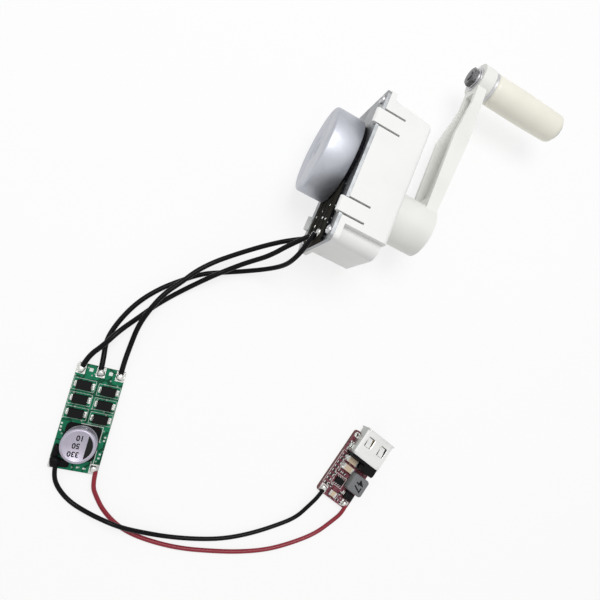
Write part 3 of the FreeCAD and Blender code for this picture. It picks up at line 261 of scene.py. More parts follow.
def group_metal():
    """Stamped or cast metal: small pits, rubbed patches, a little tarnish, and painted shade that
    makes walls facing sideways darker than what faces up."""
    graph, given, end = new_group("worn metal", ("Vector", "Colour", "Grain", "Shade",
                                                 "Side shade", "Roughness"))
    pits = graph.noise(given["Vector"], given["Grain"], 5.0, 0.6)
    patch = graph.noise(given["Vector"], 240.0, 3.0)
    shade = graph.maths("MULTIPLY", graph.ramp(patch, 0.42, 0.7), given["Shade"])
    darker = graph.mix(1.0, given["Colour"], (0.45, 0.45, 0.46, 1), "MULTIPLY")
    uneven = graph.maths("MULTIPLY_ADD", patch, 0.3)
    graph.tree.links.new(given["Roughness"], uneven.node.inputs[2])
    # Painted shade: where the normal faces sideways, the Side shade share darkens the colour,
    # standing in for the shade these walls reflect.
    facing = graph.add("ShaderNodeSeparateXYZ",
                       {0: graph.add("ShaderNodeTexCoord").outputs["Normal"]})
    wall = graph.ramp(graph.maths("ABSOLUTE", facing.outputs["Z"]), 0.3, 0.7, 1.0, 0.0)
    wall = graph.maths("MULTIPLY", wall, given["Side shade"])
    colour = graph.mix(shade, given["Colour"], darker)
    shaded_walls = graph.mix(1.0, colour, (0.4, 0.43, 0.4, 1), "MULTIPLY")
    graph.tree.links.new(graph.mix(wall, colour, shaded_walls), end["Colour"])
    graph.tree.links.new(graph.maths("SUBTRACT", uneven, 0.15, True), end["Roughness"])
    graph.tree.links.new(pits, end["Height"])


def group_board():
    """Circuit board: mask over squared copper areas with darker gaps between them, pale
    dots where holes pass through, and bare glass fibre on the cut edges."""
    graph, given, end = new_group("board mask", ("Vector", "Colour", "Second colour",
                                                 "Edge colour", "Pitch", "Roughness"))
    areas = graph.add("ShaderNodeTexVoronoi", {"Vector": given["Vector"],
                                               "Scale": given["Pitch"], "Randomness": 0.75},
                      voronoi_dimensions="2D", distance="CHEBYCHEV", feature="F2")
    near = graph.add("ShaderNodeTexVoronoi", {"Vector": given["Vector"],
                                              "Scale": given["Pitch"], "Randomness": 0.75},
                     voronoi_dimensions="2D", distance="CHEBYCHEV", feature="F1")
    gap = graph.maths("SUBTRACT", areas.outputs["Distance"], near.outputs["Distance"])
    gap = graph.ramp(gap, 0.06, 0.16, 1.0, 0.0)
    holes = graph.add("ShaderNodeTexVoronoi", {"Vector": given["Vector"], "Scale": 330.0,
                                               "Randomness": 0.9},
                      voronoi_dimensions="2D", feature="F1")
    dots = graph.ramp(holes.outputs["Distance"], 0.07, 0.12, 0.7, 0.0)
    cloud = graph.noise(given["Vector"], 420.0, 3.0)
    colour = graph.mix(gap, given["Colour"], given["Second colour"])
    paler = graph.mix(1.0, colour, (1.9, 1.6, 1.7, 1), "MULTIPLY")
    colour = graph.mix(graph.ramp(cloud, 0.45, 0.75, 0.0, 0.5), colour, paler)
    colour = graph.mix(dots, colour, (0.5, 0.55, 0.5, 1))
    facing = graph.add("ShaderNodeSeparateXYZ",
                       {0: graph.add("ShaderNodeTexCoord").outputs["Normal"]})
    side = graph.ramp(graph.maths("ABSOLUTE", facing.outputs["Z"]), 0.3, 0.6, 1.0, 0.0)
    colour = graph.mix(side, colour, given["Edge colour"])
    uneven = graph.maths("MULTIPLY_ADD", side, 0.35)
    graph.tree.links.new(given["Roughness"], uneven.node.inputs[2])
    height = graph.maths("SUBTRACT", graph.maths("MULTIPLY", cloud, 0.2), gap)
    graph.tree.links.new(colour, end["Colour"])
    graph.tree.links.new(uneven, end["Roughness"])
    graph.tree.links.new(height, end["Height"])


def group_stacked():
    """Thin sheets stacked along X: dark joints at an even pitch."""
    graph, given, end = new_group("stacked sheets", ("Vector", "Colour", "Pitch", "Shade",
                                                     "Roughness"))
    bands = graph.add("ShaderNodeTexWave", {"Vector": given["Vector"], "Scale": given["Pitch"]},
                      wave_type="BANDS", bands_direction="X")
    joint = graph.ramp(bands.outputs["Fac"], 0.1, 0.45, 1.0, 0.0)
    shade = graph.maths("MULTIPLY", joint, given["Shade"])
    darker = graph.mix(1.0, given["Colour"], (0.25, 0.25, 0.25, 1), "MULTIPLY")
    uneven = graph.maths("MULTIPLY_ADD", graph.noise(given["Vector"], 900.0), 0.2)
    graph.tree.links.new(given["Roughness"], uneven.node.inputs[2])
    graph.tree.links.new(graph.mix(shade, given["Colour"], darker), end["Colour"])
    graph.tree.links.new(uneven, end["Roughness"])
    graph.tree.links.new(bands.outputs["Fac"], end["Height"])


GROUPS = {"moulded grain": group_moulded, "turned lines": group_turned,
          "worn metal": group_metal, "board mask": group_board,
          "stacked sheets": group_stacked}


def finish(name, group, colour, roughness, metallic=0.0, bump=0.1, depth=0.0001, place=None,
           coat=0.0, gloss=0.5, **values):
    """A material whose colour, roughness and bump come from one of the groups above."""
    label = name + " finish"
    if label in bpy.data.materials:
        return bpy.data.materials[label]
    if group not in bpy.data.node_groups:
        GROUPS[group]()
    material = bpy.data.materials.new(label)
    material.use_nodes = True
    graph = Graph(material.node_tree)
    shader = next(n for n in graph.tree.nodes if n.type == "BSDF_PRINCIPLED")
    vector = graph.add("ShaderNodeTexCoord").outputs["Object"]
    if place is not None:
        mapping = graph.add("ShaderNodeMapping", {"Vector": vector}, vector_type="TEXTURE")
        mapping.inputs["Location"].default_value = [c * MM for c in place[:3]]
        mapping.inputs["Rotation"].default_value = (0, 0, math.radians(place[3]))
        vector = mapping.outputs["Vector"]
    node = graph.add("ShaderNodeGroup", node_tree=bpy.data.node_groups[group])
    graph.tree.links.new(vector, node.inputs["Vector"])
    node.inputs["Colour"].default_value = (*colour, 1)
    node.inputs["Roughness"].default_value = roughness
    for label, value in values.items():
        socket = node.inputs[label.replace("_", " ").capitalize()]
        socket.default_value = (*value, 1) if isinstance(value, tuple) else value
    relief = graph.add("ShaderNodeBump", {"Height": node.outputs["Height"], "Strength": bump,
                                          "Distance": depth})
    graph.tree.links.new(node.outputs["Colour"], shader.inputs["Base Color"])
    graph.tree.links.new(node.outputs["Roughness"], shader.inputs["Roughness"])
    graph.tree.links.new(relief.outputs["Normal"], shader.inputs["Normal"])
    shader.inputs["Metallic"].default_value = metallic
    shader.inputs["Specular IOR Level"].default_value = gloss
    shader.inputs["Coat Weight"].default_value = coat
    shader.inputs["Coat Roughness"].default_value = 0.12
    return material


ROTOR_LINES = (0, ROTOR_Y, AXIS_HEIGHT, 0)
CRANK_LINES = (0, CRANK_Y, AXIS_HEIGHT, 0)

# For each slot: its group, its colour or the name of its setting, its roughness and the rest
FINISHES = {
    "housing_plastic": ("moulded grain", "housing_colour", 0.42,
                        dict(bump=0.12, gloss=0.3, grain=2600.0, shade=0.12)),
    "arm_plastic": ("moulded grain", "arm_colour", 0.45,
                    dict(bump=0.12, grain=2600.0, shade=0.15)),
    "grip_plastic": ("moulded grain", "grip_colour", 0.4,
                     dict(bump=0.12, grain=2200.0, shade=0.15)),
    "gear_plastic": ("moulded grain", (0.8, 0.8, 0.74), 0.4, dict(grain=2600.0, shade=0.2)),
    "plate_steel": ("worn metal", (0.34, 0.35, 0.36), 0.42,
                    dict(metallic=0.85, bump=0.15, grain=2400.0, shade=0.4)),
    "screw_steel": ("turned lines", (0.55, 0.55, 0.56), 0.34,
                    dict(metallic=1.0, bump=0.15, place=CRANK_LINES, pitch=1400.0, shade=0.3)),
    # dark_screw: shiny screw heads given a dark colour and strong cloudy dark patches, a painted
    # dark reflection.
    "dark_screw": ("turned lines", (0.13, 0.13, 0.135), 0.26,
                   dict(metallic=1.0, bump=0.1, place=CRANK_LINES, pitch=1400.0, shade=0.7)),
    "core_steel": ("stacked sheets", (0.26, 0.26, 0.27), 0.45,
                   dict(metallic=0.8, bump=0.4, pitch=620.0, shade=0.8)),
    "rotor_steel": ("turned lines", "rotor_colour", 0.48,
                    dict(metallic=1.0, bump=0.1, place=ROTOR_LINES, pitch=1100.0, shade=0.2)),
    # The socket shell's side_shade paints shade on its walls, making them darker than its top.
    "socket_steel": ("worn metal", (0.78, 0.78, 0.77), 0.27,
                     dict(metallic=0.9, bump=0.08, grain=1800.0, shade=0.2, side_shade=0.75)),
    "magnet": ("worn metal", (0.07, 0.07, 0.075), 0.55,
               dict(metallic=0.2, bump=0.3, grain=2600.0, shade=0.4)),
    "brass": ("turned lines", (0.62, 0.44, 0.2), 0.36,
              dict(metallic=1.0, bump=0.2, place=ROTOR_LINES, pitch=1400.0, shade=0.35)),
    "copper": ("worn metal", (0.55, 0.2, 0.08), 0.3,
               dict(metallic=0.7, bump=0.1, coat=0.6, grain=1500.0, shade=0.35)),
    "gold_contact": ("worn metal", (0.75, 0.55, 0.22), 0.25,
                     dict(metallic=1.0, bump=0.1, grain=1500.0, shade=0.2)),
    "can_aluminium": ("worn metal", (0.42, 0.39, 0.47), 0.4,
                      dict(metallic=0.55, bump=0.08, grain=3000.0, shade=0.25)),
    "solder": ("worn metal", (0.62, 0.62, 0.6), 0.24,
               dict(metallic=0.95, bump=0.6, depth=0.0002, grain=1500.0, shade=0.5)),
    "black_board": ("board mask", (0.006, 0.006, 0.008), 0.55,
                    dict(bump=0.3, gloss=0.03, second_colour=(0.014, 0.014, 0.015),
                         edge_colour=(0.03, 0.028, 0.022), pitch=300.0)),
    "green_board": ("board mask", "rectifier_colour", 0.35,
                    dict(bump=0.35, gloss=0.1, place=(*RECTIFIER[:2], 0, RECTIFIER[2]),
                         second_colour=(0.003, 0.06, 0.03), edge_colour=(0.05, 0.08, 0.035),
                         pitch=210.0)),
    "maroon_board": ("board mask", "module_colour", 0.35,
                     dict(bump=0.35, gloss=0.1, place=(*MODULE[:2], 0, MODULE[2]),
                          second_colour=(0.09, 0.015, 0.02), edge_colour=(0.16, 0.09, 0.08),
                          pitch=480.0)),
    "black_epoxy": ("moulded grain", (0.01, 0.01, 0.011), 0.5,
                    dict(bump=0.25, gloss=0.06, grain=4200.0, shade=0.2)),
    "black_plastic": ("moulded grain", (0.008, 0.008, 0.009), 0.4,
                      dict(bump=0.12, gloss=0.06, grain=2600.0, shade=0.2)),
    "black_wire": ("moulded grain", (0.003, 0.003, 0.004), 0.25,
                   dict(bump=0.08, gloss=0.1, grain=1800.0, shade=0.2)),
    "red_wire": ("moulded grain", "red_colour", 0.28,
                 dict(bump=0.08, gloss=0.35, grain=1800.0, shade=0.2)),
    "ferrite": ("moulded grain", (0.19, 0.195, 0.2), 0.55,
                dict(bump=0.35, gloss=0.2, grain=3600.0, shade=0.4)),
    "ceramic": ("moulded grain", (0.62, 0.5, 0.36), 0.4,
                dict(bump=0.15, grain=3600.0, shade=0.35)),
    "chip_part": ("moulded grain", (0.03, 0.018, 0.018), 0.4,
                  dict(bump=0.1, gloss=0.25, grain=3600.0, shade=0.4)),
    "print_white": ("moulded grain", (0.78, 0.82, 0.78), 0.6, dict(grain=3600.0, shade=0.7)),
    "print_black": ("moulded grain", (0.008, 0.008, 0.009), 0.45,
                    dict(gloss=0.15, grain=3600.0, shade=0.2)),
}


def slot_finish(slot):
    """The finish of one of the record's material slots, or of one of the two prints."""
    group, colour, roughness, rest = FINISHES[slot]
    if isinstance(colour, str):
        colour = tuple(getattr(looks(), colour))
    return finish(slot, group, colour, roughness, **rest)


def grid_faces(rows, columns, loop_rows=False, loop_columns=False):
    """Corner numbers of the four sided faces of a grid, wrapped round where it loops."""
    row = np.arange(rows if loop_rows else rows - 1)
    column = np.arange(columns if loop_columns else columns - 1)
    i, j = np.meshgrid(row, column, indexing="ij")
    below, beside = (i + 1) % rows, (j + 1) % columns
    corners = (i * columns + j, i * columns + beside, below * columns + beside,
               below * columns + j)
    return np.stack(corners, -1).reshape(-1, 4)


def seated(part, seat):
    """A part in a board's frame, turned about Z by the seat's angle and moved to it."""
    points, faces = part
    angle = math.radians(seat[2])
    x = points[:, 0] * math.cos(angle) - points[:, 1] * math.sin(angle) + seat[0]
    y = points[:, 0] * math.sin(angle) + points[:, 1] * math.cos(angle) + seat[1]
    return np.stack([x, y, points[:, 2]], -1), faces


def piece(name, parts, slot, body="gearbox", replaced=(), seat=None, sharp=40.0,
          material=None):
    """One mesh object from parts of (points in millimetres, faces), with merged seams."""
    points, faces, count = [], [], 0
    for part in parts:
        own_points, own_faces = seated(part, seat) if seat else part
        points.append(own_points)
        faces.extend((own_faces + count).tolist())
        count += len(own_points)
    mesh = bpy.data.meshes.new(name)
    mesh.from_pydata((np.concatenate(points) * MM).tolist(), [], faces)
    shape = bmesh.new()
    shape.from_mesh(mesh)
    bmesh.ops.remove_doubles(shape, verts=shape.verts, dist=2e-7)
    bmesh.ops.dissolve_degenerate(shape, edges=shape.edges, dist=1e-8)
    bmesh.ops.recalc_face_normals(shape, faces=shape.faces)
    shape.to_mesh(mesh)
    shape.free()
    mesh.polygons.foreach_set("use_smooth", np.ones(len(mesh.polygons), bool))
    mesh.set_sharp_from_angle(angle=math.radians(sharp))
    obj = bpy.data.objects.new(name, mesh)
    bpy.context.scene.collection.objects.link(obj)
    obj.data.materials.append(slot_finish(material or slot))
    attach(obj, body)
    if replaced:
        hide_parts(*replaced)
    return obj


def turned(profile, y, z, steps=96):
    """A shape turned about the X axis: (x, radius) goes to (x, y + r cos a, z + r sin a)."""
    x, radius = np.array(profile, float).T
    angle = np.linspace(0, TURN, steps, endpoint=False)
    points = np.stack([np.repeat(x[:, None], steps, 1),
                       y + radius[:, None] * np.cos(angle),
                       z + radius[:, None] * np.sin(angle)], -1)
    return points.reshape(-1, 3), grid_faces(len(x), steps, loop_columns=True)


def upright(profile, x, y, steps=96):
    """A shape turned about a line along Z: (radius, z) goes to (x + r cos a, y + r sin a, z)."""
    radius, z = np.array(profile, float).T
    angle = np.linspace(0, TURN, steps, endpoint=False)
    points = np.stack([x + radius[:, None] * np.cos(angle),
                       y + radius[:, None] * np.sin(angle),
                       np.repeat(z[:, None], steps, 1)], -1)
    return points.reshape(-1, 3), grid_faces(len(z), steps, loop_columns=True)


def arc(centre, radius, start, end, steps=10):
    """Points on an arc in the profile's plane, from one angle in degrees to another."""
    angle = np.radians(np.linspace(start, end, steps))
    return np.stack([centre[0] + radius * np.cos(angle),
                     centre[1] + radius * np.sin(angle)], -1).tolist()


def block(x, y, half_x, half_y, profile, corner=0.2, steps=4):
    """A closed block: a rounded rectangle carried up a profile of (inset, height).

    A corner's points are its centre plus the rest of its radius times (cos a, sin a), and
    the first and last rings are drawn together to the middle to close the block."""
    inset, height = np.array(profile, float).T
    quarter = np.linspace(0, math.pi / 2, steps)
    angle = (np.arange(4)[:, None] * math.pi / 2 + quarter).reshape(-1)
    side_x = np.repeat([1, -1, -1, 1], steps)
    side_y = np.repeat([1, 1, -1, -1], steps)
    radius = np.maximum(corner - inset, 0.02)[:, None]
    ring_x = x + side_x * (half_x - inset[:, None] - radius) + radius * np.cos(angle)
    ring_y = y + side_y * (half_y - inset[:, None] - radius) + radius * np.sin(angle)
    rings = np.stack([ring_x, ring_y, np.repeat(height[:, None], 4 * steps, 1)], -1)
    bottom = np.broadcast_to([x, y, height[0]], (1, 4 * steps, 3))
    top = np.broadcast_to([x, y, height[-1]], (1, 4 * steps, 3))
    points = np.concatenate([bottom, rings, top])
    return points.reshape(-1, 3), grid_faces(len(points), 4 * steps, loop_columns=True)


def plate(x0, x1, y0, y1, bottom, thickness=0.04):
    """A thin flat mark, such as print or a bare copper pad."""
    return block((x0 + x1) / 2, (y0 + y1) / 2, (x1 - x0) / 2, (y1 - y0) / 2,
                 [(0, bottom - 0.02), (0, bottom + thickness)], 0.05, 2)


def outline_marks(x0, x1, y0, y1, width, bottom):
    """Four thin marks round a rectangle."""
    return [plate(x0, x1, y0, y0 + width, bottom), plate(x0, x1, y1 - width, y1, bottom),
            plate(x0, x0 + width, y0 + width, y1 - width, bottom),
            plate(x1 - width, x1, y0 + width, y1 - width, bottom)]


def solder_bead(x, y, bottom, half_x, half_y, height, lobe=0.0):
    """A bead of solder: half of a squared ball, whose radius at the rise b is its own times
    0.92 + 0.08 sin(3a + lobe) cos b."""
    rise = np.linspace(0, math.pi / 2, 14)[:, None]
    angle = np.linspace(0, TURN, 36, endpoint=False)[None, :]
    uneven = 1 - 0.08 + 0.08 * np.sin(3 * angle + lobe) * np.cos(rise)
    spread = np.cos(rise) ** 0.65 * uneven
    across = np.sign(np.cos(angle)) * np.abs(np.cos(angle)) ** 0.75
    along = np.sign(np.sin(angle)) * np.abs(np.sin(angle)) ** 0.75
    points = np.stack([x + half_x * spread * across, y + half_y * spread * along,
                       bottom + height * np.sin(rise) ** 0.9 * np.ones_like(angle)], -1)
    floor = np.broadcast_to([x, y, bottom], (1, 36, 3))
    points = np.concatenate([floor, points])
    return points.reshape(-1, 3), grid_faces(len(points), 36, loop_columns=True)


def strip(path, side, width, thickness):
    """A bent strip: each (along, height) of the path becomes four corners, half a width to
    each side and half a thickness along the path's own normal. side is the direction that
    along runs in, as (x, y), after the strip's foot (x, y)."""
    path = np.array(path, float)
    run = np.gradient(path, axis=0)
    normal = np.stack([-run[:, 1], run[:, 0]], -1)
    normal /= np.linalg.norm(normal, axis=1)[:, None]
    foot, direction = side
    across = np.array([-direction[1], direction[0]], float)
    rows = []
    for out, wide in ((1, -1), (1, 1), (-1, 1), (-1, -1)):
        flat = path + normal * out * thickness / 2
        plan = np.array(foot) + flat[:, :1] * np.array(direction) + across * wide * width / 2
        rows.append(np.concatenate([plan, flat[:, 1:]], 1))
    rings = np.stack(rows, 1)
    ends = [np.broadcast_to(rings[i].mean(0), (1, 4, 3)) for i in (0, -1)]
    points = np.concatenate([ends[0], rings, ends[1]])
    return points.reshape(-1, 3), grid_faces(len(points), 4, loop_columns=True)


def cross_head(x, y, z, way, radius, height, seat_round=0.3, depth=0.7):
    """A screw head on the X axis: a dome with a cross cut into it.

    The face stands at height (1 - 0.35 (r / radius)^2), less the cut, which is the depth
    where the smaller of |a| and |b| is under a fifth of the radius, within six tenths."""
    ratio = np.concatenate([np.linspace(0.0, 0.7, 22), np.linspace(0.76, 1.0, 7)])[:, None]
    angle = np.linspace(0, TURN, 96, endpoint=False)[None, :]
    a, b = ratio * np.cos(angle), ratio * np.sin(angle)
    arm = np.clip((0.17 - np.minimum(np.abs(a), np.abs(b))) / 0.06, 0, 1)
    reach = np.clip((0.62 - ratio) / 0.08, 0, 1)
    dome = height * (1 - 0.35 * ratio ** 2) - seat_round * np.clip(ratio - 0.92, 0, 1) * 6
    rise = dome - depth * arm * reach
    points = np.stack([x + way * rise, y + radius * a, z + radius * b], -1)
    wall = points[-1:].copy()
    wall[..., 0] = x
    back = np.broadcast_to([x, y, z], (1, 96, 3))
    points = np.concatenate([points, wall, back])
    return points.reshape(-1, 3), grid_faces(len(points), 96, loop_columns=True)


def numbers(text, x, y, z, height, turn, weight=0.0):
    """The (points, faces) of a plain number laid flat in a board's frame."""
    curve = bpy.data.curves.new("numbers", "FONT")
    curve.body = text
    curve.size = height * 1.4
    curve.align_x = "CENTER"
    curve.align_y = "CENTER"
    curve.extrude = 0.02
    curve.offset = weight
    curve.resolution_u = 3
    curve.space_character = 1.0
    letters = bpy.data.objects.new("numbers", curve)
    mesh = bpy.data.meshes.new_from_object(letters)
    flat = np.zeros(len(mesh.vertices) * 3)
    mesh.vertices.foreach_get("co", flat)
    flat = flat.reshape(-1, 3)
    mesh.calc_loop_triangles()
    corners = np.zeros(len(mesh.loop_triangles) * 3, int)
    mesh.loop_triangles.foreach_get("vertices", corners)
    bpy.data.objects.remove(letters)
    bpy.data.curves.remove(curve)
    bpy.data.meshes.remove(mesh)
    angle = math.radians(turn)
    points = np.stack([x + flat[:, 0] * math.cos(angle) - flat[:, 1] * math.sin(angle),
                       y + flat[:, 0] * math.sin(angle) + flat[:, 1] * math.cos(angle),
                       z + flat[:, 2]], -1)
    return points, corners.reshape(-1, 3)


class CHARGER_OT_stage(bpy.types.Operator):
    """Floor, backdrop, lamps and the camera."""

    bl_idname = "charger.stage"
    bl_label = "Stage and camera"

    def execute(self, context):
        scene = context.scene
        scene.view_settings.view_transform = "Standard"
        camera = bpy.data.objects.new("camera", bpy.data.cameras.new("camera"))
        camera.location = (-0.05475, -0.086, 0.205)
        camera.rotation_euler = Euler([math.radians(a) for a in (3.52055, -17.08496, 23.27968)])
        camera.data.lens = 31.8
        camera.data.sensor_width = 36.0
        camera.data.clip_start = 0.005
        scene.collection.objects.link(camera)
        scene.camera = camera
        self.add_world(scene)
        self.add_floor(scene)
        for name, place, aim, size, power in (
                ("key_lamp", (-0.04, 0.14, 0.60), (0, -0.02, 0), 0.3, 1.9),
                ("fill_lamp", (-0.40, 0.10, 0.50), (-0.02, -0.06, 0), 0.5, 0.25)):
            lamp = bpy.data.lights.new(name, "AREA")
            lamp.size = size
            lamp.energy = power
            obj = bpy.data.objects.new(name, lamp)
            obj.location = place
            obj.rotation_euler = (Vector(aim) - Vector(place)).to_track_quat("-Z", "Y").to_euler()
            scene.collection.objects.link(obj)
        return {"FINISHED"}

    @staticmethod
    def seen_directly(graph):
        """One where the ray comes from the camera, a reflection or a clear surface."""
        path = graph.add("ShaderNodeLightPath").outputs
        seen = graph.maths("ADD", path["Is Camera Ray"], path["Is Glossy Ray"])
        return graph.maths("ADD", seen, path["Is Transmission Ray"], True)

    def add_world(self, scene):
        """White where it is seen, and a softer light elsewhere."""
        world = bpy.data.worlds.new("studio")
        world.use_nodes = True
        scene.world = world
        graph = Graph(world.node_tree)
        backdrop = next(n for n in graph.tree.nodes if n.type == "BACKGROUND")
        backdrop.inputs["Color"].default_value = (1, 1, 1, 1)
        level = graph.ramp(self.seen_directly(graph), 0.0, 1.0, 0.5, 1.0)
        graph.tree.links.new(level, backdrop.inputs["Strength"])

    def add_floor(self, scene):
        """A plain white sheet under the object that keeps its soft shadow."""
        material = bpy.data.materials.new("floor")
        material.use_nodes = True
        graph = Graph(material.node_tree)
        graph.tree.nodes.clear()
        paper = graph.add("ShaderNodeBsdfDiffuse", {"Color": (0.93, 0.93, 0.93, 1)})
        glow = graph.add("ShaderNodeEmission", {"Color": (1, 1, 1, 1), "Strength": 1.0})
        share = graph.maths("MULTIPLY", self.seen_directly(graph), 0.78)
        mixed = graph.add("ShaderNodeMixShader", {0: share, 1: paper.outputs[0],
                                                  2: glow.outputs[0]})
        graph.add("ShaderNodeOutputMaterial", {"Surface": mixed.outputs[0]})
        mesh = bpy.data.meshes.new("floor")
        x, y = np.meshgrid(np.linspace(-1.5, 1.5, 5), np.linspace(-1.5, 1.5, 5))
        points = np.stack([x, y, np.full_like(x, -0.00005)], -1).reshape(-1, 3)
        mesh.from_pydata(points.tolist(), [], grid_faces(5, 5).tolist())
        floor = bpy.data.objects.new("floor", mesh)
        floor.data.materials.append(material)
        scene.collection.objects.link(floor)


class CHARGER_OT_wires(bpy.types.Operator):
    """Three phase wires and two supply wires, each one smooth curve through its route."""

    bl_idname = "charger.wires"
    bl_label = "Wires"

    def execute(self, context):
        own = looks()
        for name, route in PHASE_ROUTES.items():
            self.add_wire(name, route, own.phase_diameter, "black_wire")
        self.add_wire("dc_wire_black", SUPPLY_ROUTES["dc_wire_black"], own.supply_diameter,
                      "black_wire")
        self.add_wire("dc_wire_red", SUPPLY_ROUTES["dc_wire_red"], own.supply_diameter,
                      "red_wire")
        return {"FINISHED"}

    @staticmethod
    def add_wire(name, route, diameter, slot):
        """A round NURBS curve whose control points are the route's."""
        curve = bpy.data.curves.new(name + "_skin", "CURVE")
        curve.dimensions = "3D"
        curve.resolution_u = 10
        curve.bevel_depth = diameter / 2
        curve.bevel_resolution = 5
        curve.use_fill_caps = True
        spline = curve.splines.new("NURBS")
        spline.points.add(len(route) - 1)
        points = np.concatenate([np.array(route) * MM, np.ones((len(route), 1))], 1)
        spline.points.foreach_set("co", points.reshape(-1))
        spline.order_u = 3
        spline.use_endpoint_u = True
        wire = bpy.data.objects.new(name + "_skin", curve)
        bpy.context.scene.collection.objects.link(wire)
        curve.materials.append(slot_finish(slot))
        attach(wire, "gearbox")
        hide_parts(name)


class CHARGER_OT_cords(bpy.types.Operator):
    """Does nothing: it only returns as finished."""

    bl_idname = "charger.cords"
    bl_label = "Cord facts"

    def execute(self, context):
        return {"FINISHED"}


def board_piece(board, name, parts, slot, replaced=(), **settings):
    """A piece on one of the two boards, tagged with that board's name and the nodes it replaces.
    """
    obj = piece(name, parts, slot, replaced=replaced, seat=SEATS[board], **settings)
    obj["charger_group"] = board
    obj["charger_replaced"] = " ".join(replaced)
    return obj


class CHARGER_OT_finishes(bpy.types.Operator):
    """Gives every carried CAD node the finish of its slot."""

    bl_idname = "charger.finishes"
    bl_label = "Finishes"

    def execute(self, context):
        for subpart in frame["record"]["subparts"]:
            node = frame["nodes"][subpart["node"]]
            material = slot_finish(subpart["material_slot"])
            for number in range(len(node.material_slots)):
                node.material_slots[number].material = material
        return {"FINISHED"}


class CHARGER_OT_gearbox(bpy.types.Operator):
    """Pan head screws of the motor plate."""

    bl_idname = "charger.gearbox"
    bl_label = "Gearbox"

    def execute(self, context):
        low, high = (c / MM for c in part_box("plate_screws"))
        face = low[0]
        parts = []
        for y in (low[1] + 1.7, high[1] - 1.7):
            for z in (low[2] + 1.7, high[2] - 1.7):
                parts.append(cross_head(face + 1.1, y, z, -1, 1.7, 1.1, depth=0.6))
                parts.append(turned([(face + 1.1, 0), (face + 1.1, 0.8), (high[0], 0.8),
                                     (high[0], 0)], y, z, 24))
        piece("plate_screw_set", parts, "screw_steel", replaced=("plate_screws",))
        return {"FINISHED"}


class CHARGER_OT_generator(bpy.types.Operator):
    """Rotor cup, stator coils, and the joints, pads and leads on the stator's board."""

    bl_idname = "charger.generator"
    bl_label = "Generator"

    def execute(self, context):
        y, z = ROTOR_Y, AXIS_HEIGHT
        low, high = (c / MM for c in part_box("rotor_cup"))
        front, rear, outer = low[0], high[0], (high[1] - low[1]) / 2
        inner = front + 1.3
        profile = [(rear, outer - 1.3), (rear, outer - 0.25), (rear - 0.25, outer)]
        profile += arc((front + 1.0, outer - 1.0), 1.0, 90, 180)
        profile += [(front, 5.2), (front + 0.22, 4.9), (front + 0.22, 2.9),
                    (front, 2.7), (front, 2.1), (front + 0.15, 1.9), (front + 0.9, 1.5),
                    (front + 1.2, 1.02), (inner + 1, 1.02), (inner + 1, 3.6), (inner, 3.6),
                    (inner, outer - 2.5)]
        profile += arc((inner + 1.2, outer - 2.5), 1.2, 180, 90, 5)
        profile.append((rear, outer - 1.3))
        piece("rotor_shell", [turned(profile, y, z, 160)], "rotor_steel", "rotor",
              ("rotor_cup",), sharp=50)
        self.add_coils(y, z)
        self.add_board_marks()
        return {"FINISHED"}

    @staticmethod
    def add_coils(y, z):
        """Nine coils: a loop round each tooth, carried outwards, whose wires stand
        out by 0.16 |sin(pi r / 0.42)| at each radius r."""
        low, high = (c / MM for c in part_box("stator_windings"))
        middle, half_length = (low[0] + high[0]) / 2, (high[0] - low[0]) / 2
        first, last = 7.1, 11.0
        out = np.linspace(first, last, 46)
        bulge = 0.64 + 0.16 * np.abs(np.sin(math.pi * out / 0.42))
        rows = np.concatenate([[first], out, [last]])
        lift = np.concatenate([[0.02], bulge, [0.02]])
        around = np.linspace(0, TURN, 40, endpoint=False)
        corner_x = np.clip(np.cos(around) * 4.4, -1, 1)
        corner_t = np.clip(np.sin(around) * 4.4, -1, 1)
        half_x, half_t = half_length - 0.95, 1.15
        x = middle + corner_x * half_x + np.cos(around) * lift[:, None]
        t = corner_t * half_t + np.sin(around) * lift[:, None]
        parts = []
        for number in range(9):
            angle = math.radians(20 + 40 * number)
            own_y = y + rows[:, None] * math.cos(angle) - t * math.sin(angle)
            own_z = z + rows[:, None] * math.sin(angle) + t * math.cos(angle)
            points = np.stack([x, own_y, own_z], -1).reshape(-1, 3)
            parts.append((points, grid_faces(len(rows), 40, True, True)))
        piece("stator_coils", parts, "copper", replaced=("stator_windings",))

    @staticmethod
    def add_board_marks():
        """Solder beads over the wires' ends on the stator board's tongue, small bare pads,
        and a thin enamelled lead from the coils to each joint."""
        low, high = (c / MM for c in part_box("stator_solder"))
        parts = []
        for number, joint_z in enumerate(JOINT_HEIGHTS):
            points, faces = solder_bead(0, 0, 0, 1.6, 1.35, high[0] - low[0], number * 1.7)
            turned_points = np.stack([high[0] - points[:, 2], low[1] + 1.6 + points[:, 0],
                                      joint_z + points[:, 1]], -1)
            parts.append((turned_points, faces))
        for pad_y, pad_z in ((-24.2, 17.6), (-21.8, 23.4), (-18.4, 20.2), (-23.4, 28.2),
                             (-19.6, 14.6), (-17.2, 26.4)):
            points, faces = solder_bead(0, 0, 0, 0.6, 0.5, 0.35, pad_z)
            parts.append((np.stack([high[0] - points[:, 2], pad_y + points[:, 0],
                                    pad_z + points[:, 1]], -1), faces))
        piece("stator_joints", parts, "solder", replaced=("stator_solder",))
        leads = []
        share = np.linspace(0, 1, 24)[:, None]
        around = np.linspace(0, TURN, 10, endpoint=False)
        for number, joint_z in enumerate(JOINT_HEIGHTS):
            run_y = low[1] + 2.6 + share * (-13.0 - low[1])
            run_z = joint_z + 1.2 * np.sin(math.pi * share) * (1 - number * 0.7) + share * 1.4
            run_x = high[0] - 0.25 - 0.25 * np.sin(math.pi * share)
            points = np.stack([run_x + 0.16 * np.cos(around), run_y + 0 * around,
                               run_z + 0.16 * np.sin(around)], -1)
            leads.append((points.reshape(-1, 3), grid_faces(24, 10, loop_columns=True)))
        piece("stator_leads", leads, "copper", material="black_wire")


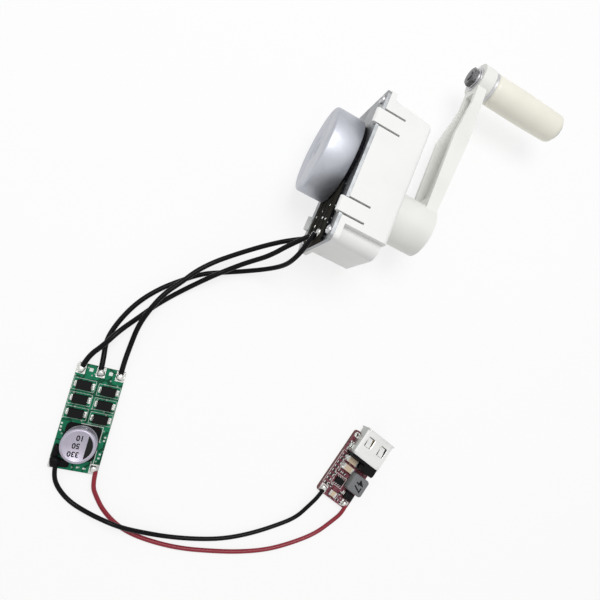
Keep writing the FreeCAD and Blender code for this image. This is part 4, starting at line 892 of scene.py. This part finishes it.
class CHARGER_OT_crank(bpy.types.Operator):
    """Hub screw, grip bolt, and the bolt's nut on its lock washer."""

    bl_idname = "charger.crank"
    bl_label = "Crank fasteners"

    def execute(self, context):
        low, high = (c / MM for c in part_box("hub_screw"))
        y, z = CRANK_Y, AXIS_HEIGHT
        seat = high[0] - 1.8
        shank = [(low[0], 0), (low[0], 1.6), (seat, 1.6), (seat, 0)]
        piece("hub_screw_head", [cross_head(seat, y, z, 1, 5.0, 1.8, depth=1.1),
                                 turned(shank, y, z, 48)],
              "dark_screw", "crank", ("hub_screw",))
        low, high = (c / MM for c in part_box("grip_bolt"))
        y = GRIP_Y
        seat = high[0] - 1.4
        shank = [(low[0], 0), (low[0], 1.7), (low[0] + 0.3, 2.0), (seat, 2.0), (seat, 0)]
        piece("grip_bolt_head", [cross_head(seat, y, z, 1, 4.3, 1.4, depth=0.8),
                                 turned(shank, y, z, 48)],
              "dark_screw", "crank", ("grip_bolt",))
        low, high = (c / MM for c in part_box("grip_nut"))
        piece("grip_nut_body", [self.hexagon_nut(low[0], high[0], y, z, 4.2, 20.0)],
              "screw_steel", "crank", ("grip_nut",), sharp=25, material="dark_screw")
        low, high = (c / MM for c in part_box("nut_washer"))
        front, rear = low[0], high[0]
        lock = [(front, 2.1), (front, 4.0), (front + 0.1, 4.15), (front + 0.6, 4.15),
                (front + 0.65, 3.9), (rear - 0.5, 3.9), (rear - 0.5, 5.0), (rear - 0.4, 5.15),
                (rear, 5.15), (rear, 2.1), (front, 2.1)]
        piece("nut_lock_washer", [turned(lock, y, z, 72)], "screw_steel", "crank",
              ("nut_washer",), sharp=35)
        return {"FINISHED"}

    @staticmethod
    def hexagon_nut(front, rear, y, z, radius, turn):
        """A six sided nut with a bore: its side stands at radius cos 30 / cos(a - 30), where
        a is the angle past the last corner, and each face is cut back to a circle."""
        profile = ((front, 0.0, 2.05), (front, 0.0, 3.4), (front + 0.45, 1.0, 4.25),
                   (rear - 0.3, 1.0, 4.25), (rear, 1.0, 3.9), (rear, 0.0, 2.05),
                   (front, 0.0, 2.05))
        angle = np.linspace(0, TURN, 96, endpoint=False)
        past = np.mod(angle - math.radians(turn), TURN / 6) - TURN / 12
        side = radius * math.cos(TURN / 12) / np.cos(past)
        rows = []
        for x, sided, limit in profile:
            reach = np.minimum(side, limit) if sided else np.full_like(side, limit)
            rows.append(np.stack([np.full_like(side, x), y + reach * np.cos(angle),
                                  z + reach * np.sin(angle)], -1))
        return np.stack(rows).reshape(-1, 3), grid_faces(len(rows), 96, loop_columns=True)


class CHARGER_OT_grip(bpy.types.Operator):
    """Barrel grip, turned about its bolt.

    At the share t of its length its radius is 6.55 + 0.15 sin(pi t / 0.9) - 0.3 t^2, and past
    t = 0.93 it rounds down along a quarter ellipse to the recess for the bolt's head."""

    bl_idname = "charger.grip"
    bl_label = "Grip"

    def execute(self, context):
        low, high = (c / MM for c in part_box("crank_grip"))
        start, end, length = low[0], high[0], high[0] - low[0]
        along = np.linspace(0, 1, 40)
        radius = 6.55 + 0.15 * np.sin(math.pi * np.clip(along / 0.9, 0, 1)) - 0.3 * along ** 2
        lip = np.clip((along - 0.93) / 0.07, 0, 1)
        radius = radius - (radius[-1] - 4.6) * (1 - np.sqrt(1 - lip ** 2 * 0.999))
        foot = np.clip(1 - along / 0.02, 0, 1)
        radius = radius - 0.7 * foot ** 2
        profile = [(start, 2.08)] + list(zip(start + along * length, radius))
        profile += [(end - 0.1, 4.5), (end - 0.6, 4.5), (end - 0.6, 2.08), (start, 2.08)]
        piece("grip_barrel", [turned(profile, GRIP_Y, AXIS_HEIGHT, 120)], "grip_plastic", "grip",
              ("crank_grip",), sharp=50)
        return {"FINISHED"}


def diode_places():
    """Middles of the six diodes in the rectifier board's frame."""
    return [(column * 4.3, 10.8 - row * 5.0 - 0.25 * column)
            for row in range(3) for column in (-1, 1)]


class CHARGER_OT_rectifier(bpy.types.Operator):
    """Diodes, leads, capacitor, joints and print of the rectifier board."""

    bl_idname = "charger.rectifier"
    bl_label = "Rectifier board"

    def execute(self, context):
        self.add_card()
        self.add_diodes()
        self.add_capacitor()
        self.add_joints()
        self.add_print()
        return {"FINISHED"}

    @staticmethod
    def add_card():
        card = [(0.0, 0.05), (0.0, CARD_TOP - 0.06), (0.06, CARD_TOP)]
        board_piece("rectifier", "rectifier_card",
                    [block(0, 0, 8.4, 18.5, [(0.05, 0.0)] + card, 0.6, 6)], "green_board",
                    ("rectifier_board",))

    @staticmethod
    def add_diodes():
        bodies, leads = [], []
        profile = [(0.12, CARD_TOP + 0.1), (0.0, CARD_TOP + 1.0), (0.0, CARD_TOP + 1.15),
                   (0.16, CARD_TOP + 2.1), (0.26, CARD_TOP + 2.2)]
        bend = [(0.0, 1.0), (0.35, 0.98), (0.5, 0.8), (0.55, 0.4), (0.62, 0.16), (0.8, 0.12),
                (1.15, 0.12)]
        bend = [(along, CARD_TOP + height) for along, height in bend]
        for x, y in diode_places():
            bodies.append(block(x, y, 2.6, 1.6, profile, 0.2))
            for way in (-1, 1):
                leads.append(strip(bend, ((x + way * 2.3, y), (way, 0)), 1.5, 0.2))
                pad_x = sorted((x + way * 2.7, x + way * (3.6 if way > 0 else 3.3)))
                leads.append(plate(pad_x[0], pad_x[1], y - 1.05, y + 1.05, CARD_TOP, 0.06))
        board_piece("rectifier", "diode_bodies", bodies, "black_epoxy", ("rectifier_diodes",))
        board_piece("rectifier", "diode_feet", leads, "solder", ("diode_leads",))

    @staticmethod
    def add_capacitor():
        x, y, radius = -0.1, -8.2, 5.9
        low, high = (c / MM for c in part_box("capacitor_can"))
        seat, top = low[2], high[2]
        profile = [(0, seat), (radius - 0.5, seat), (radius, seat + 0.5), (radius, seat + 1.5)]
        groove = np.linspace(0, math.pi, 9)
        profile += [(radius - 0.42 * math.sin(a), seat + 1.6 + 0.9 * a / math.pi)
                    for a in groove]
        profile += arc((radius - 0.8, top - 0.8), 0.8, 0, 90, 9)
        profile += [(radius - 1.0, top - 0.02), (radius - 1.15, top - 0.12), (0, top - 0.12)]
        board_piece("rectifier", "capacitor_shell", [upright(profile, x, y, 120)], "can_aluminium",
                    ("capacitor_can",), sharp=55)
        face = top - 0.12
        chord, rim = 2.6, radius - 1.15
        reach = math.acos(chord / rim)
        angle = np.linspace(-reach, reach, 40)
        share = np.linspace(0, 1, 5)[:, None]
        edge_x, edge_y = rim * np.cos(angle), rim * np.sin(angle)
        flat_x = chord + (edge_x - chord) * share
        flat_y = np.repeat(edge_y[None, :], 5, 0)
        layer = np.stack([x + flat_x, y + flat_y, np.full_like(flat_x, face + 0.03)], -1)
        under = layer.copy()
        under[..., 2] = face - 0.02
        grid = grid_faces(5, 40)
        points = np.concatenate([layer.reshape(-1, 3), under.reshape(-1, 3)])
        dark = [(points, np.concatenate([grid, grid[:, ::-1] + 200]))]
        lines = looks().can_numbers.split()
        spots = ((-0.9, -2.7), (-0.7, 0.1), (0.0, 2.8))
        for text, (dx, dy) in zip(lines, spots):
            dark.append(numbers(text, x + dx, y + dy, face + 0.02, 1.8, 183.0, 0.07))
        board_piece("rectifier", "capacitor_print", dark, "black_plastic", material="print_black")
        tray = [(0.1, CARD_TOP), (0.0, CARD_TOP + 0.15), (0.0, CARD_TOP + 1.0),
                (0.2, CARD_TOP + 1.2)]
        board_piece("rectifier", "capacitor_tray", [block(x, y, 6.0, 6.0, tray, 1.6, 8)],
                    "black_plastic", ("capacitor_base",))

    @staticmethod
    def add_joints():
        beads = []
        for number, x in enumerate((-6.8, 0.0, 6.8)):
            beads.append(plate(x - 1.55, x + 1.55, 14.7, 18.4, CARD_TOP, 0.05))
            beads.append(solder_bead(x, 16.4, CARD_TOP, 1.5, 1.5, 1.7, number * 2.1))
            beads.append(solder_bead(x, 17.3, CARD_TOP, 0.7, 1.1, 1.65, number * 1.3))
        beads.append(plate(5.2, 8.35, -18.4, -15.0, CARD_TOP, 0.05))
        beads.append(solder_bead(6.8, -16.5, CARD_TOP, 1.5, 1.4, 1.7, 1.0))
        beads.append(plate(-8.35, -5.2, -18.4, -15.0, CARD_TOP, 0.05))
        board_piece("rectifier", "rectifier_beads", beads, "solder", ("rectifier_solder",))
        lump = [solder_bead(-6.5, -16.3, CARD_TOP, 1.9, 2.1, 1.8, 0.4),
                solder_bead(-7.1, -12.8, CARD_TOP, 1.3, 2.6, 1.0, 2.0),
                solder_bead(-3.6, -16.6, CARD_TOP, 2.0, 1.5, 0.7, 2.6)]
        board_piece("rectifier", "black_joint_cover", lump, "black_plastic")

    @staticmethod
    def add_print():
        marks = []
        for x, y in diode_places():
            marks += outline_marks(x - 3.85, x + 3.85, y - 2.1, y + 2.1, 0.11, CARD_TOP)
        marks += [plate(-1.6, 6.2, -2.2, -1.96, CARD_TOP), plate(5.96, 6.2, -7.4, -2.2, CARD_TOP),
                  plate(5.96, 6.2, -15.0, -10.2, CARD_TOP)]
        for x in (-3.4, 3.4):
            marks.append(plate(x - 0.65, x + 0.65, 16.1, 17.3, CARD_TOP, 0.05))
        for x, y in ((1.2, -17.1), (3.4, -17.1), (-7.8, -3.2), (-7.8, -4.4), (-7.7, -5.6),
                     (7.6, -5.4), (7.5, -6.6), (7.4, -11.4), (7.3, -12.8)):
            marks.append(plate(x - 0.35, x + 0.35, y - 0.3, y + 0.3, CARD_TOP))
        board_piece("rectifier", "rectifier_print", marks, "green_board", material="print_white")


class CHARGER_OT_module(bpy.types.Operator):
    """Socket shell, inductor and small parts of the USB module."""

    bl_idname = "charger.module"
    bl_label = "USB module"

    def execute(self, context):
        self.add_card()
        self.add_shell()
        self.add_inductor()
        self.add_small_parts()
        return {"FINISHED"}

    @staticmethod
    def add_card():
        """Not replaced: the card keeps its hole; a ring and pads are laid on it."""
        ring = [(0.62, CARD_TOP - 0.02), (0.62, CARD_TOP + 0.06), (1.15, CARD_TOP + 0.06),
                (1.2, CARD_TOP - 0.02), (0.62, CARD_TOP - 0.02)]
        pads = [upright(ring, -6.2, 12.4, 32)]
        for x0, x1, y0, y1 in ((-7.2, -4.0, -13.9, -10.8), (4.0, 7.2, -13.9, -11.2),
                               (-6.9, -6.2, 5.2, 9.4), (-5.0, -4.2, 1.5, 4.1),
                               (-4.8, -3.9, -1.9, 0.7), (0.2, 0.8, 1.5, 4.1),
                               (0.2, 0.8, -1.9, 0.7)):
            pads.append(plate(x0, x1, y0, y1, CARD_TOP, 0.05))
        board_piece("module", "module_pads", pads, "solder")

    @staticmethod
    def add_shell():
        """A rounded rectangle carried along the socket, opened at two windows and flared
        at its mouth, then given its sheet thickness inwards."""
        middle, roof, front, rear = 0.4, 8.2, 16.8, 5.4
        half_w, half_h, corner = 6.55, 3.3, 0.7
        cross = np.unique(np.concatenate([np.linspace(-5.85, 5.85, 14),
                                          [-4.8, -1.8, 1.8, 4.8]]))
        quarter = np.linspace(0, math.pi / 2, 6)[1:-1]
        turn_x = [(half_w - corner + corner * math.sin(a), half_h - corner + corner
                   * math.cos(a)) for a in quarter]
        side = np.linspace(2.6, -2.6, 6)
        upper = [(c, half_h) for c in cross] + turn_x + [(half_w, h) for h in side]
        lower = [(-x, -h) for x, h in upper]
        path = np.array(upper + lower)
        along = np.unique(np.concatenate([np.linspace(rear, front - 0.8, 10), [10.2, 14.4],
                                          front - 0.7 + np.array([0, 0.25, 0.5, 0.7])]))
        lip = np.clip((along - (front - 0.6)) / 0.6, 0, 1)
        grow = 0.5 * lip ** 1.6
        x = path[:, 0] + np.sign(path[:, 0]) * np.minimum(np.abs(path[:, 0]) / half_w, 1) \
            * grow[:, None]
        h = path[:, 1] + np.sign(path[:, 1]) * (np.abs(path[:, 1]) / half_h) * grow[:, None]
        h = np.maximum(h, -half_h + 0.02)
        y = np.repeat(along[:, None], len(path), 1)
        points = np.stack([middle + x, y, roof - half_h + h], -1).reshape(-1, 3)
        faces = grid_faces(len(along), len(path), loop_columns=True)
        centre = points[faces].mean(1)
        off = np.abs(np.abs(centre[:, 0] - middle) - 3.3)
        window = ((centre[:, 2] > roof - 0.3) & (off < 1.5) & (centre[:, 1] > 10.2)
                  & (centre[:, 1] < 14.4))
        shell = board_piece("module", "socket_shell", [(points, faces[~window])], "socket_steel",
                            ("usb_shell",), sharp=30)
        wall = shell.modifiers.new("sheet", "SOLIDIFY")
        wall.thickness = 0.33 * MM
        wall.offset = -1
        wall.use_even_offset = True
        tabs = []
        for x0 in (-3.3, 3.3):
            path = [(0.0, 8.02), (0.8, 7.98), (1.8, 7.7), (2.8, 7.25), (3.4, 7.1), (3.9, 7.3)]
            tabs.append(strip(path, ((middle + x0, 10.3), (0, 1)), 2.2, 0.25))
        legs = [block(-6.6, 7.6, 0.35, 1.0, [(0, 1.6), (0, 2.8), (0.1, 3.0)], 0.15),
                block(7.3, 7.6, 0.25, 1.0, [(0, 1.6), (0, 2.8), (0.1, 3.0)], 0.15)]
        board_piece("module", "socket_tabs", tabs + legs, "socket_steel")

    @staticmethod
    def add_inductor():
        profile = [(0.2, 1.6), (0.05, 1.9), (0.0, 2.4), (0.0, 5.0), (0.2, 5.5), (0.7, 5.75),
                   (1.2, 5.8)]
        board_piece("module", "inductor_block", [block(4.5, -3.6, 3.7, 3.7, profile, 1.1, 8)],
                    "ferrite", ("inductor",))
        mark = numbers(looks().inductor_number, 4.5, -3.6, 5.8, 3.4, 270.0, 0.06)
        board_piece("module", "inductor_mark", [mark], "ferrite", material="print_black")

    @staticmethod
    def add_small_parts():
        top = CARD_TOP
        ends, bodies = [], []
        for x0, x1, y0, y1 in ((-4.6, 0.6, 1.6, 4.1), (-4.3, 0.6, -1.8, 0.7),
                               (-3.0, 0.2, -13.2, -10.9)):
            x, y, half_x, half_y = (x0 + x1) / 2, (y0 + y1) / 2, (x1 - x0) / 2, (y1 - y0) / 2
            cap = [(0.08, top), (0, top + 0.1), (0, top + 1.5), (0.1, top + 1.6)]
            for way in (-1, 1):
                ends.append(block(x + way * (half_x - 0.4), y, 0.4, half_y, cap, 0.15))
            inner = [(0.06, top + 0.06), (0.06, top + 1.45), (0.14, top + 1.53)]
            bodies.append(block(x, y, half_x - 0.5, half_y - 0.02, inner, 0.12))
        board_piece("module", "capacitor_bodies", bodies, "ceramic", ("ceramic_capacitors",))
        chips = [(-6.2, 3.0 - row * 1.85, 0.9, 0.5) for row in range(8)]
        chips += [(-3.9, -3.2, 0.8, 0.42), (-1.9, -3.2, 0.8, 0.42), (-4.9, -9.9, 0.42, 0.7),
                  (-3.6, -9.8, 0.42, 0.7), (1.6, -10.2, 0.42, 0.8), (1.7, -12.9, 0.8, 0.42),
                  (-4.9, -5.2, 0.3, 0.6), (0.9, -1.0, 0.3, 0.6), (3.6, -13.2, 0.3, 0.6)]
        middles = []
        for x, y, half_x, half_y in chips:
            long_x = half_x > half_y
            cap = [(0.03, top), (0, top + 0.05), (0, top + 0.55), (0.05, top + 0.6)]
            inner = [(0.03, top + 0.03), (0.03, top + 0.5), (0.06, top + 0.54)]
            for way in (-1, 1):
                if long_x:
                    ends.append(block(x + way * (half_x - 0.18), y, 0.18, half_y, cap, 0.05, 2))
                else:
                    ends.append(block(x, y + way * (half_y - 0.18), half_x, 0.18, cap, 0.05, 2))
            trim_x, trim_y = (0.22, 0.02) if long_x else (0.02, 0.22)
            middles.append(block(x, y, half_x - trim_x, half_y - trim_y, inner, 0.05, 2))
        board_piece("module", "chip_middles", middles, "chip_part", ("chip_resistors",))
        chip = [(0.1, top + 0.1), (0, top + 0.6), (0, top + 0.7), (0.15, top + 1.3)]
        dark = [block(-1.8, -6.55, 1.9, 1.3, chip, 0.12)]
        diode = [(0.12, top + 0.1), (0, top + 0.9), (0, top + 1.0), (0.2, top + 1.9),
                 (0.3, top + 2.0)]
        dark.append(block(4.9, -9.2, 2.0, 1.55, diode, 0.15))
        board_piece("module", "module_chips", dark, "black_epoxy",
                    ("converter_chip", "power_diode"))
        bend = [(0.0, top + 0.6), (0.18, top + 0.58), (0.25, top + 0.35), (0.3, top + 0.12),
                (0.45, top + 0.08), (0.7, top + 0.08)]
        for column in range(4):
            x = -3.2 + column * 0.93
            for way in (-1, 1):
                ends.append(strip(bend, ((x, -6.55 + way * 1.25), (0, way)), 0.36, 0.13))
        for way in (-1, 1):
            ends.append(strip([(a * 1.1, h + 0.2 if h > top + 0.3 else h) for a, h in bend],
                              ((4.9 + way * 1.95, -9.2), (way, 0)), 1.4, 0.16))
        for x, y, lobe in ((-5.6, -12.3, 0.3), (5.6, -12.5, 1.4)):
            ends.append(solder_bead(x, y, top, 1.4, 1.3, 1.5, lobe))
        board_piece("module", "module_metal", ends, "solder", ("usb_solder",))
        marks = []
        for row in range(8):
            y = 3.0 - row * 1.85
            marks.append(plate(-5.0, -4.9, y - 0.5, y + 0.5, top))
        marks += outline_marks(-4.4, 0.8, -8.9, -4.3, 0.14, top)
        marks += [plate(-7.4, 1.0, 4.5, 4.66, top), plate(1.4, 1.54, -13.8, -9.6, top),
                  plate(-7.5, -7.36, -10.6, 4.4, top)]
        board_piece("module", "module_print", marks, "maroon_board", material="print_white")


class CHARGER_PT_panel(bpy.types.Panel):
    """Buttons for every piece of the charger."""

    bl_idname = "CHARGER_PT_panel"
    bl_label = "Hand crank charger"
    bl_space_type = "VIEW_3D"
    bl_region_type = "UI"
    bl_category = "Charger"

    def draw(self, context):
        for name in ChargerLooks.__annotations__:
            self.layout.prop(looks(), name)
        for operator in OPERATORS:
            self.layout.operator(operator.bl_idname)


OPERATORS = (CHARGER_OT_stage, CHARGER_OT_wires, CHARGER_OT_finishes, CHARGER_OT_gearbox,
             CHARGER_OT_generator, CHARGER_OT_crank, CHARGER_OT_grip, CHARGER_OT_rectifier,
             CHARGER_OT_module, CHARGER_OT_cords)
CLASSES = (ChargerLooks, *OPERATORS, CHARGER_PT_panel)


def register():
    """Adds the classes and the scene's own settings."""
    for cls in CLASSES:
        bpy.utils.register_class(cls)
    bpy.types.Scene.charger_looks = bpy.props.PointerProperty(type=ChargerLooks)


def unregister():
    """Takes away what register added."""
    del bpy.types.Scene.charger_looks
    for cls in reversed(CLASSES):
        bpy.utils.unregister_class(cls)


def main():
    """Builds the whole charger."""
    register()
    for operator in OPERATORS:
        group, name = operator.bl_idname.split(".")
        getattr(getattr(bpy.ops, group), name)()


if __name__ == "__main__":
    main()
